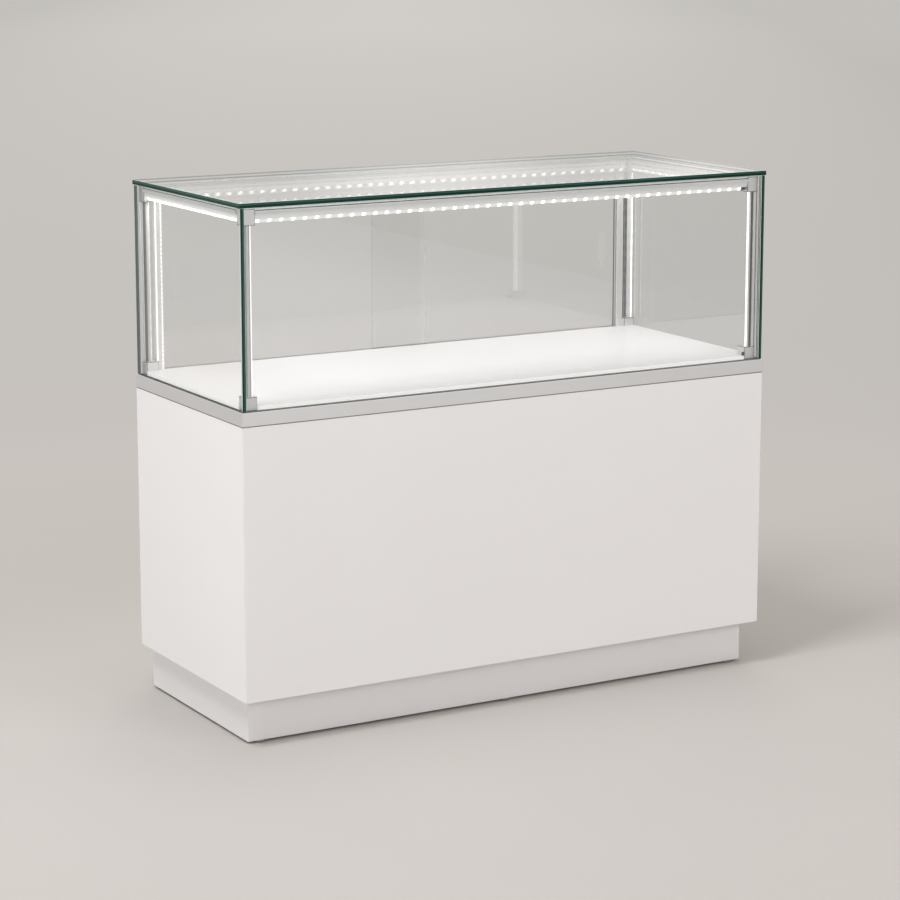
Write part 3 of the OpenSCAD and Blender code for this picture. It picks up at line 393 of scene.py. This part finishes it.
def rail_metal(name, colour, along, outer):
    """The rails under the glass top, with a bead over a groove near their tops, painted dark in the
    groove and bright on the bead. Their faces glow with light painted on as if from their strips,
    the inner ones most and the outer ones by outer."""
    graph = new_finish(name)
    point = graph.point()
    grain = graph.lines(along)
    across = 1 - "xyz".index(along)
    inward = graph.below(graph.product(graph.normal()[across], point[across]), -0.01)
    height = graph.minus(point[2], RAIL_FOOT)
    bead = graph.blend(inward, graph.stripes(height, RAIL_PAINTED_BEAD), rgb(1, 1, 1))
    outer_painted_glow = graph.stripes(height, ((0.0, outer), (2.5, outer / 2), (7.0, outer / 10), (16.0, 0.0)))
    return graph.done(graph.shader(
        Base_Color=graph.tinted(graph.mottled(grain, colour, 0.96, 1.02), bead),
        Metallic=0.72,
        Roughness=graph.spread(grain, 0.28, 0.36),
        Normal=graph.relief(grain, 0.01 * MM, 0.5 * MM),
        Emission_Color=graph.blend(inward, outer_painted_glow, graph.stripes(height, RAIL_INNER_PAINTED_GLOW)),
        Emission_Strength=PAINTED_METAL_GLOW))


BAND_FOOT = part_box("band_front")[0].z
# By height: painted shadow along the band's foot and a painted highlight at its top.
BAND_PAINTED_LINES = ((0.0, 0.30), (1.8, 0.30), (2.2, 1.0), (26.4, 1.0), (26.9, 1.15), (28.0, 1.15))


def band_metal(name, colour, along):
    """The band round the deck: satin, with a painted shadow line along its foot and a painted
    highlight along its upper arris.
    """
    graph = new_finish(name)
    grain = graph.lines(along, 700.0, 2.0, 0.6)
    cloud = graph.spread(graph.noise(7.0, 3.0))
    tone = graph.blend(cloud, shade(colour, 0.97), graph.mottled(grain, colour, 0.98, 1.01))
    line = graph.stripes(graph.minus(graph.point()[2], BAND_FOOT), BAND_PAINTED_LINES)
    return graph.done(graph.shader(
        Base_Color=graph.tinted(tone, line),
        Metallic=0.8,
        Roughness=graph.spread(grain, 0.28, 0.33),
        Normal=graph.relief(grain, 0.005 * MM, 0.5 * MM)))


GASKET_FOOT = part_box("top_gaskets")[0].z
# By height: painted shadow at the gasket's foot, then a painted highlight.
GASKET_PAINTED_LINES = ((0.0, 0.04), (1.1, 0.04), (1.4, 0.9), (3.0, 0.9))


def gasket(name):
    """The clear strips under the glass top, with a painted shadow line at their foot and a painted
    highlight where the glass lies.
    """
    graph = new_finish(name)
    tone = graph.stripes(graph.minus(graph.point()[2], GASKET_FOOT), GASKET_PAINTED_LINES)
    return graph.done(graph.shader(Base_Color=tone, Roughness=0.4, IOR=1.45))


# The lights and their covers


COVER_SQUARE = 0.6
COVER_GLOW, SLEEVE_GLOW, TAPE_GLOW = 1.5, 2.6, 1.6
LIGHT_PITCH = 25 * MM
LED_W, LED_REACH = 8 * MM, 3.6 * MM
LED_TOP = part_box("rail_light_strips")[0].z + LED_REACH - 0.05 * MM

LIT_FRONT_END = ((0.0, 0.0), (13.4, 0.0), (13.9, 0.6), (15.5, 0.6))
LIT_FRONT_SIDE = ((0.0, 0.0), (5.6, 0.0), (6.4, 1.0), (14.0, 1.0), (15.5, 0.5))
LIT_REAR_END = ((0.0, 1.0), (3.4, 1.0), (4.2, 0.05), (15.5, 0.0))
# Painted highlight and shade across the rear covers' ends and the rear right sides.
REAR_LEFT_END_PAINTED = ((0.0, 0.3), (0.8, 0.05), (5.6, 0.08), (6.4, 0.34), (11.8, 0.66), (15.5, 0.76))
REAR_RIGHT_END_PAINTED = ((0.0, 0.7), (13.8, 0.52), (14.4, 0.12), (15.5, 0.12))
REAR_RIGHT_SIDE_PAINTED = ((0.0, 0.12), (6.0, 0.08), (6.6, 0.5), (7.6, 0.5), (8.2, 0.08), (15.5, 0.12))


def opal(name):
    """The opal covers of the posts. Their inner sides are lit where the strip is behind them, with a
    soft swell at each light, and they are grey over the metal behind. Their ends and the rear right
    sides carry painted highlight and painted shade in stripes."""
    graph = new_finish(name)
    point = graph.point()
    facing = graph.normal("Normal")
    along_x, along_y, rear = from_corner(graph, point)
    right = graph.above(point[0], 0.0)
    sideways = graph.above(graph.size(facing[0]), COVER_SQUARE)
    outward = graph.above(graph.product(facing[0], point[0]), 0.0)
    inward = graph.product(sideways, graph.inverse(outward))
    frontways = graph.below(facing[1], -COVER_SQUARE)

    end_lit = graph.product(graph.stripes(along_x, LIT_FRONT_END), graph.inverse(right))
    front_lit = graph.blend_value(frontways, 0.35, end_lit)
    front_lit = graph.blend_value(inward, front_lit, graph.stripes(along_y, LIT_FRONT_SIDE))
    rear_lit = graph.blend_value(right, 0.0, graph.stripes(along_x, LIT_REAR_END))
    rear_lit = graph.blend_value(frontways, 0.2, rear_lit)
    rear_lit = graph.blend_value(inward, rear_lit, graph.blend_value(right, 0.8, 0.06))
    rear_lit = graph.product(rear_lit, graph.inverse(graph.product(sideways, outward)))
    between = graph.blend_value(rear, 0.86, 0.55)
    swell = graph.blend_value(graph.wave(point[2], LIGHT_PITCH), between, 1.0)

    # Painted highlight and shade: the ends take the posts' painted stripes, and the rear ends and the rear
    # right sides take stripes of their own.
    ends = graph.blend(right, graph.stripes(along_x, LEFT_PAINTED_STRIPES), graph.stripes(along_x, RIGHT_PAINTED_STRIPES))
    rear_ends = graph.blend(
        right, graph.stripes(along_x, REAR_LEFT_END_PAINTED), graph.stripes(along_x, REAR_RIGHT_END_PAINTED))
    sides = graph.blend(
        graph.product(rear, right), rgb(0.62, 0.62, 0.61), graph.stripes(along_y, REAR_RIGHT_SIDE_PAINTED))
    tone = graph.blend(frontways, ends, graph.blend(rear, ends, rear_ends))
    return graph.done(graph.shader(
        Base_Color=graph.blend(sideways, tone, sides),
        Roughness=0.35,
        IOR=1.49,
        Normal=graph.relief(graph.noise(900, 2.0), GRAIN, 0.3 * MM),
        Emission_Color=graph.lit(graph.product(graph.blend_value(rear, front_lit, rear_lit), swell)),
        Emission_Strength=COVER_GLOW))


def sleeve(name, between, sharp):
    """The clear sleeve over a light strip: a line of light, brightest at each light under it. between
    is its level between two lights, and a higher sharp draws smaller spots."""
    graph = new_finish(name)
    spot = graph.math("POWER", graph.wave(graph.point()[0], LIGHT_PITCH), sharp)
    level = graph.remap(spot, 0.0, 1.0, between, 1.0)
    return graph.done(graph.shader(
        Base_Color=rgb(0.7, 0.7, 0.68),
        Roughness=0.3,
        IOR=1.45,
        Emission_Color=graph.lit(level),
        Emission_Strength=SLEEVE_GLOW))


def light_tape(name):
    """A light strip: a white tape whose lights below LED_TOP shine."""
    graph = new_finish(name)
    in_light = graph.below(graph.point()[2], LED_TOP)
    print_lines = graph.remap(graph.noise(260, 2.0), 0.45, 0.55)
    return graph.done(graph.shader(
        Base_Color=graph.blend(print_lines, rgb(0.8, 0.79, 0.76), rgb(0.9, 0.89, 0.86)),
        Roughness=0.35,
        IOR=PLASTIC_IOR,
        Normal=graph.relief(graph.noise(500, 2.0), 0.05 * MM, 0.3 * MM),
        Emission_Color=graph.blend(in_light, rgb(0.42, 0.41, 0.39), LIT_WHITE),
        Emission_Strength=TAPE_GLOW))


# Glass. A side of a pane is a face where it looks more than FACE_FROM along the way through the
# pane, an edge where it looks less than EDGE_TO that way, and an arris in between


FACE_FROM, EDGE_TO = 0.9, 0.3
CORE_AT = 0.68
GLASS_IOR = 1.52
BODY_IOR = 1.25
DARK_GREEN = rgb(0.002, 0.022, 0.016)
MID_GREEN = rgb(0.03, 0.105, 0.08)
PALE_GREEN = rgb(0.66, 0.76, 0.72)
EDGE_GREY = rgb(0.42, 0.47, 0.45)
GROUND_GREY = rgb(0.70, 0.73, 0.72)
GLASS_TINT = rgb(0.976, 0.982, 0.983)
DOOR_TINT = rgb(0.996, 0.998, 0.997)


def edge_green(graph, depth, pale):
    """An edge's colour through its depth: dark, with a lighter core."""
    core = graph.remap(graph.apart(depth, CORE_AT), 0.08, 0.20, 1.0, 0.0, smooth=True)
    drift = graph.remap(graph.noise(3.0, 3.0), 0.35, 0.7)
    core = graph.math("ADD", graph.product(core, 0.8), graph.product(drift, 0.2), clamp=True)
    return graph.blend(core, EDGE_GREY if pale else DARK_GREEN, PALE_GREEN if pale else MID_GREEN)


def in_grip(graph, point, grip, middle_y):
    """Whether a point is on the ground floor of a door's finger grip, on the door's rear half."""
    near_z = graph.below(graph.apart(point[2], grip["z"]), grip["half_h"])
    near_x = graph.below(graph.apart(point[0], grip["x"]), grip["half_w"])
    return graph.product(near_z, near_x, graph.below(point[1], grip["y"]), graph.above(point[1], middle_y))


def glass(node, axis, rim, tint=GLASS_TINT, ior=GLASS_IOR, deep=0.9, pale=False, grip=None):
    """A polished pane: clear on its two faces, deep green through its edges and painted pale on its
    arrises as a highlight.
    axis is the way through the pane. rim is how much of an edge's depth shows from inside the glass,
    which bends the view, and deep is how dense it is there. A pale pane has light edges. grip gives
    the middle, the half sizes and the plane of a ground finger grip."""
    graph = new_finish(node + "_glass")
    index = "xyz".index(axis)
    low, high = (corner[index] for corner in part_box(node))
    geometry = graph.node("NewGeometry").outputs
    inside = geometry["Backfacing"]
    normal = graph.axes(geometry["True Normal"])
    through = graph.size(normal[index])
    is_face = graph.above(through, FACE_FROM)
    is_edge = graph.below(through, EDGE_TO)
    is_arris = graph.inverse(graph.math("ADD", is_face, is_edge))
    point = graph.point()
    depth = graph.remap(point[index], low, high)

    mirror = graph.node("Fresnel", {"IOR": graph.blend_value(inside, ior, 1 / ior)}).outputs["Fac"]
    haze = graph.remap(graph.noise(6.0, 5.0, 0.65), 0.35, 0.8, 0.0, 0.01)
    face = graph.math("ADD", mirror, haze, clamp=True)

    at_rim = graph.above(graph.apart(depth, 0.5), 0.5 - rim)
    is_level = graph.above(graph.size(normal[2]), 0.5)
    from_inside = graph.blend_value(at_rim, 0.03, graph.blend_value(is_level, deep, deep * 0.5))
    edge = graph.blend_value(inside, min(1.0, deep + 0.1), from_inside)
    edge = graph.product(edge, graph.blend_value(is_arris, 1.0, 0.75))

    solid = graph.blend_value(is_face, edge, face)
    tone = graph.blend(is_face, edge_green(graph, depth, pale), rgb(1, 1, 1))
    # Painted highlight: the arrises are pale.
    tone = graph.blend(is_arris, tone, PALE_GREEN)
    gloss = graph.blend_value(is_arris, graph.blend_value(is_face, 0.07, 0.0), 0.3)
    metal = is_face
    if grip:
        ground = in_grip(graph, point, grip, (low + high) / 2)
        tone = graph.blend(ground, tone, GROUND_GREY)
        gloss = graph.blend_value(ground, gloss, 0.45)
        solid = graph.blend_value(ground, solid, graph.spread(graph.noise(1400, 2.0), 0.10, 0.18))
        metal = graph.product(metal, graph.inverse(ground))
    body = graph.shader(Base_Color=tone, Metallic=metal, Roughness=gloss, IOR=BODY_IOR)
    clear = graph.node("BsdfTransparent", {"Color": tint}).outputs[0]
    return graph.done(graph.node("MixShader", {0: solid, 1: clear, 2: body}).outputs[0])


# The finish of each CAD node: its own one, or else the one of its slot


FINISHES = {
    "white_board_finish": laminate("white_laminate", WHITE, 0.40),
    "plinth_finish": laminate("plinth_laminate", shade(WHITE, 0.93), 0.44),
    "inner_board_finish": laminate("inner_laminate", shade(WHITE, 0.98), 0.52),
    # The deck's upright sides get a painted glow.
    "deck_gloss": laminate("deck_laminate", rgb(0.755, 0.729, 0.730), 0.34, 0.01 * MM, 2 * MM, 0.40),
    "seal_rubber": moulded("seal_rubber", rgb(0.16, 0.16, 0.155), 0.6),
    "gasket_clear": gasket("gasket"),
    "black_plastic": moulded("black_plastic", rgb(0.022, 0.022, 0.023), 0.42, 1500),
    "lead_sheath": moulded("lead_sheath", rgb(0.03, 0.03, 0.03), 0.5),
    "nylon_shoe": moulded("nylon", rgb(0.82, 0.81, 0.78), 0.45),
    "glide_plastic": moulded("glide_plastic", rgb(0.20, 0.20, 0.20), 0.5),
    "driver_case": moulded("driver_plastic", rgb(0.8, 0.8, 0.785), 0.45),
    "pull_steel": steel("pull_nickel", rgb(0.66, 0.65, 0.63), 0.3),
    "lock_metal": steel("lock_nickel", rgb(0.75, 0.74, 0.72), 0.18, 500.0, 500.0),
    "pin_steel": steel("pin_zinc", rgb(0.62, 0.62, 0.62), 0.3),
    "opal_cover": opal("opal_cover"),
    "light_strip": light_tape("light_tape"),
    "track_aluminium": anodised("track_metal", ALUMINIUM, 0.3, "x"),
}

OWN = {
    "end_channels": channel_metal("channel_metal", ALUMINIUM),
    "glazing_tape": moulded("clear_tape", rgb(0.72, 0.73, 0.72), 0.35),
}
OWN["base_blocks"] = OWN["top_blocks"] = block_metal("block_metal", rgb(0.79, 0.785, 0.79))
# Each side's posts take their own painted highlight and shade stripes.
for side, stripes in (("left", LEFT_PAINTED_STRIPES), ("right", RIGHT_PAINTED_STRIPES)):
    post_finish = post_metal("post_metal_" + side, ALUMINIUM, stripes)
    OWN["post_front_" + side] = OWN["post_rear_" + side] = post_finish
for along, outer, sides in (("x", 0.16, ("front", "rear")), ("y", 0.42, ("left", "right"))):
    rail_finish = rail_metal("rail_metal_" + along, ALUMINIUM, along, outer)
    band_finish = band_metal("band_metal_" + along, rgb(0.84, 0.84, 0.852), along)
    for side in sides:
        OWN["rail_" + side] = rail_finish
        OWN["band_" + side] = band_finish
for name, axis, rim in (
        ("glass_top", "z", 0.34), ("glass_front", "y", 0.36), ("glass_left", "x", 0.5),
        ("glass_right", "x", 0.42)):
    OWN[name] = glass(name, axis, rim)

# A door's finger grip: how far it is in from the door's outer edge, its size and its level
GRIP_IN, GRIP_W, GRIP_H, GRIP_Z = 45 * MM, 18 * MM, 80 * MM, 835.4 * MM
DOOR_RIM, DOOR_IOR, DOOR_DEEP = 0.3, 1.72, 0.5
for side in ("left", "right"):
    name = "sliding_glass_" + side
    low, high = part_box(name)
    grip = {
        "x": low.x + GRIP_IN if side == "left" else high.x - GRIP_IN,
        "y": high.y - 0.2 * MM,
        "z": GRIP_Z,
        "half_w": GRIP_W / 2 + MM,
        "half_h": GRIP_H / 2 + MM}
    OWN[name] = glass(name, "y", DOOR_RIM, DOOR_TINT, DOOR_IOR, DOOR_DEEP, True, grip)

for name, node in frame["nodes"].items():
    finish = OWN.get(name) or FINISHES[SLOTS[name]]
    node.data.materials.clear()
    node.data.materials.append(finish)


# The sleeves over the light strips, which the solids leave out. Each runs from SHORT inside the ends
# of its rail, and the front one stops at the plug


def extruded(name, section, length, finish, place, turn=0.0, body="case"):
    """A bar along its own X, centred, with section as its (y, z) outline."""
    count = len(section)
    points = [(side * length / 2, y, z) for side in (-1, 1) for y, z in section]
    faces = [(i, (i + 1) % count, (i + 1) % count + count, i + count) for i in range(count)]
    faces += [tuple(range(count - 1, -1, -1)), tuple(range(count, 2 * count))]
    mesh = bpy.data.meshes.new(name)
    mesh.from_pydata(points, [], faces)
    mesh.materials.append(finish)
    piece = bpy.data.objects.new(name, mesh)
    piece.location = place
    piece.rotation_euler = (0, 0, turn)
    bpy.context.scene.collection.objects.link(piece)
    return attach(piece, body)


def half_round(width, height, steps=10):
    """A section flat on top at z = 0 and bulging down."""
    angles = [math.pi * step / steps for step in range(steps + 1)]
    return [(-math.cos(angle) * width / 2, -math.sin(angle) * height) for angle in angles]


SLEEVE = half_round(7.6 * MM, 6.6 * MM)
SHORT = 3 * MM
strips_low, strips_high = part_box("rail_light_strips")
sleeve_z = strips_low.z + LED_REACH
front_y, rear_y = strips_low.y + LED_W / 2, strips_high.y - LED_W / 2
left_x, right_x = strips_low.x + LED_W / 2, strips_high.x - LED_W / 2
x_from, x_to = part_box("rail_front")[0].x + SHORT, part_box("rail_front")[1].x - SHORT
y_from, y_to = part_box("rail_left")[0].y + SHORT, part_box("rail_left")[1].y - SHORT
plug_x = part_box("light_plugs")[0].x
for name, start, end, between, sharp in (
        ("front", (x_from, front_y), (plug_x, front_y), 0.13, 7.0),
        ("rear", (x_from, rear_y), (x_to, rear_y), 0.06, 2.2),
        ("left", (left_x, y_from), (left_x, y_to), 0.45, 4.0),
        ("right", (right_x, y_from), (right_x, y_to), 0.45, 4.0)):
    place = ((start[0] + end[0]) / 2, (start[1] + end[1]) / 2, sleeve_z)
    turn = math.atan2(end[1] - start[1], end[0] - start[0])
    finish = sleeve("light_sleeve_" + name, between, sharp)
    extruded("light_sleeve_" + name, SLEEVE, math.dist(start, end), finish, place, turn)


# The floor and the backdrop. Distances are in metres from the middle of the case, and the places of
# BACKDROP_STOPS are shares of BACKDROP_RANGE. The backdrop's glow is painted lighter and darker with
# distance, and the pool of light on it is painted.


BACKDROP = rgb(0.610, 0.590, 0.560)
FLOOR = rgb(0.487, 0.462, 0.440)
FLOOR_RADIUS = 120.0
FLOOR_FADE = (0.9, 2.6)
HORIZON_FADE = (42.0, 105.0)
BACKDROP_RANGE = 30.0
BACKDROP_STOPS = (
    (0.05, rgb(0.650, 0.612, 0.570)), (0.067, rgb(0.603, 0.568, 0.530)),
    (0.10, rgb(0.572, 0.541, 0.516)), (0.15, rgb(0.566, 0.538, 0.512)),
    (0.24, rgb(0.572, 0.551, 0.521)), (0.85, rgb(0.634, 0.614, 0.584)))
POOL_AXIS, POOL_MIDDLE = (0.866, -0.5, 0.0), -0.9
POOL_DROP, POOL_LEAST = 0.0062, 0.86


def floor_material():
    """A pale seamless floor that runs out into a backdrop with one soft painted pool of light on it."""
    graph = new_finish("floor")
    point = graph.node("NewGeometry").outputs["Position"]
    away = graph.node("VectorMath", {0: point}, operation="LENGTH").outputs["Value"]
    tone = graph.mottled(graph.noise(1.7, 3.0), FLOOR, 0.985)
    near = graph.shader(Base_Color=tone, Roughness=0.75, IOR=1.4)
    # Painted light and shade: the backdrop's glow changes with distance.
    wall = graph.ramp(graph.math("DIVIDE", away, BACKDROP_RANGE), BACKDROP_STOPS)
    across = graph.node("VectorMath", {0: point, 1: POOL_AXIS}, operation="DOT_PRODUCT").outputs["Value"]
    aside = graph.math("POWER", graph.apart(across, POOL_MIDDLE), 2.0)
    fall = graph.largest(graph.inverse(graph.product(aside, POOL_DROP)), POOL_LEAST)
    wall = graph.node("VectorMath", {0: wall, 3: fall}, operation="SCALE").outputs[0]
    wall = graph.blend(graph.remap(away, *HORIZON_FADE, smooth=True), wall, BACKDROP)
    glow = graph.node("Emission", {"Color": wall, "Strength": 1.0}).outputs[0]
    far = graph.remap(away, *FLOOR_FADE, smooth=True)
    return graph.done(graph.node("MixShader", {0: far, 1: near, 2: glow}).outputs[0])


bpy.ops.mesh.primitive_circle_add(vertices=96, radius=FLOOR_RADIUS, fill_type="NGON", location=(0, 0, 0))
floor = bpy.context.object
floor.name = "floor"
floor.data.materials.append(floor_material())

SKY_LIGHT, SKY_STRENGTH = rgb(1.0, 0.967, 0.925), 0.50
world = bpy.data.worlds.new("studio")
bpy.context.scene.world = world
sky = Graph(world)
rays = sky.node("LightPath").outputs
seen = sky.largest(rays["Is Camera Ray"], rays["Is Glossy Ray"], rays["Is Transmission Ray"])
lighting = sky.node("Background", {"Color": SKY_LIGHT, "Strength": SKY_STRENGTH}).outputs[0]
backdrop = sky.node("Background", {"Color": BACKDROP, "Strength": 1.0}).outputs[0]
sky.done(sky.node("MixShader", {0: seen, 1: lighting, 2: backdrop}).outputs[0], "OutputWorld")


# The lamps, and the cards that show in gloss in their stead


def aimed(place, aim):
    """The turn that points a lamp or card at place towards aim."""
    return (Vector(aim) - Vector(place)).to_track_quat("-Z", "Y").to_euler()


def area_light(name, place, aim, size, power, colour):
    """A soft lamp that lights the pieces but doesn't show in them."""
    light = bpy.data.lights.new(name, "AREA")
    light.shape = "RECTANGLE"
    light.size, light.size_y = size
    light.energy = power
    light.color = colour
    holder = bpy.data.objects.new(name, light)
    holder.location = place
    holder.rotation_euler = aimed(place, aim)
    holder.visible_camera = False
    holder.visible_glossy = False
    bpy.context.scene.collection.objects.link(holder)


KEY_PLACE, KEY_AIM = (-1.9, -0.7, 3.8), (0, 0, 0.4)
LEFT_PLACE, LEFT_AIM = (-4.2, -1.2, 1.4), (0, 0, 0.5)
FRONT_PLACE, FRONT_AIM = (1.6, -4.3, 2.0), (0.1, 0, 0.5)
TOP_PLACE, TOP_AIM = (0.7, 0.4, 3.8), (0, 0, 0.6)
REAR_PLACE, REAR_AIM = (2.0, 3.4, 2.4), (0, 0, 0.5)
area_light("key_light", KEY_PLACE, KEY_AIM, (1.2, 1.2), 95, (0.97, 0.985, 1.0))
area_light("left_light", LEFT_PLACE, LEFT_AIM, (2.0, 1.6), 40, (0.94, 0.97, 1.0))
area_light("front_light", FRONT_PLACE, FRONT_AIM, (2.8, 2.0), 58, (0.98, 0.985, 1.0))
area_light("top_light", TOP_PLACE, TOP_AIM, (2.6, 2.0), 29, (1, 1, 1))
area_light("rear_light", REAR_PLACE, REAR_AIM, (2.6, 2.2), 27, (1.0, 0.95, 0.88))

STRIP_GLOW_Z, STRIP_W = 1.006, 0.012
for name, x, y, size, power in (
        ("front_strip_glow", 0, -0.218, (1.1, STRIP_W), 0.29),
        ("rear_strip_glow", 0, 0.214, (1.1, STRIP_W), 0.20),
        ("left_strip_glow", -0.572, 0, (STRIP_W, 0.42), 0.32),
        ("right_strip_glow", 0.572, 0, (STRIP_W, 0.42), 0.30)):
    area_light(name, (x, y, STRIP_GLOW_Z), (x, y, 0.0), size, power, LIT_WHITE[:3])


CARD_WHITE = rgb(1.0, 0.975, 0.95)


def reflector(name, place, size, tilt, strength, lift, edge):
    """A card that only shows in gloss and glass. It glows by strength, and by lift more in its middle,
    inside a soft edge as wide as edge says along each side."""
    graph = new_finish(name)
    half_w, half_d = size[0] / 2, size[1] / 2
    x, y, _ = graph.point()
    inner_x = graph.remap(graph.size(x), half_w - edge[0], half_w, 1.0, 0.0, smooth=True)
    inner_y = graph.remap(graph.size(y), half_d - edge[1], half_d, 1.0, 0.0, smooth=True)
    level = graph.remap(graph.product(inner_x, inner_y), 0.0, 1.0, strength, strength + lift)
    glow = graph.node("Emission", {"Color": CARD_WHITE, "Strength": level}).outputs[0]
    mesh = bpy.data.meshes.new(name)
    corners = [(-half_w, -half_d, 0), (half_w, -half_d, 0), (half_w, half_d, 0), (-half_w, half_d, 0)]
    mesh.from_pydata(corners, [], [(0, 1, 2, 3)])
    mesh.materials.append(graph.done(glow))
    card = bpy.data.objects.new(name, mesh)
    card.location = place
    card.rotation_euler = tilt
    for kind in ("camera", "diffuse", "transmission", "volume_scatter", "shadow"):
        setattr(card, "visible_" + kind, False)
    bpy.context.scene.collection.objects.link(card)


LEVEL = (0, 0, 0)
UPRIGHT = (math.radians(90), 0, math.radians(-30))
reflector("key_card", KEY_PLACE, (2.2, 2.2), aimed(KEY_PLACE, KEY_AIM), 0.6, 1.0, (0.9, 0.9))
reflector("left_card", LEFT_PLACE, (3.2, 2.4), aimed(LEFT_PLACE, LEFT_AIM), 0.6, 1.0, (1.4, 1.0))
reflector("soft_card", FRONT_PLACE, (4.0, 2.8), aimed(FRONT_PLACE, FRONT_AIM), 0.6, 0.9, (1.7, 1.2))
reflector("front_card", (1.6, -6.2, 0.02), (3.6, 7.4), LEVEL, 0.58, 0.30, (1.3, 1.6))
reflector("top_card", (3.02, 5.42, 1.70), (1.4, 1.1), UPRIGHT, 0.6, 0.20, (0.6, 0.35))
reflector("side_card", (4.1, 4.79, 1.70), (0.8, 1.1), UPRIGHT, 0.6, 0.30, (0.35, 0.35))


# The camera, fitted to the corners of the case in the photograph


CAMERA_PLACE = (-2.7747, -4.7827, 1.6257)
CAMERA_AZIMUTH = math.radians(-30.03)
CAMERA_PITCH = math.radians(10.44)
camera_data = bpy.data.cameras.new("camera")
camera_data.sensor_width = 36.0
camera_data.lens = 109.5
camera_data.shift_y = -0.0667
camera_data.clip_end = 500.0
camera = bpy.data.objects.new("camera", camera_data)
camera.location = CAMERA_PLACE
camera.rotation_euler = (math.pi / 2 - CAMERA_PITCH, 0.0, CAMERA_AZIMUTH)
bpy.context.scene.collection.objects.link(camera)
bpy.context.scene.camera = camera
bpy.context.scene.view_settings.view_transform = "Standard"
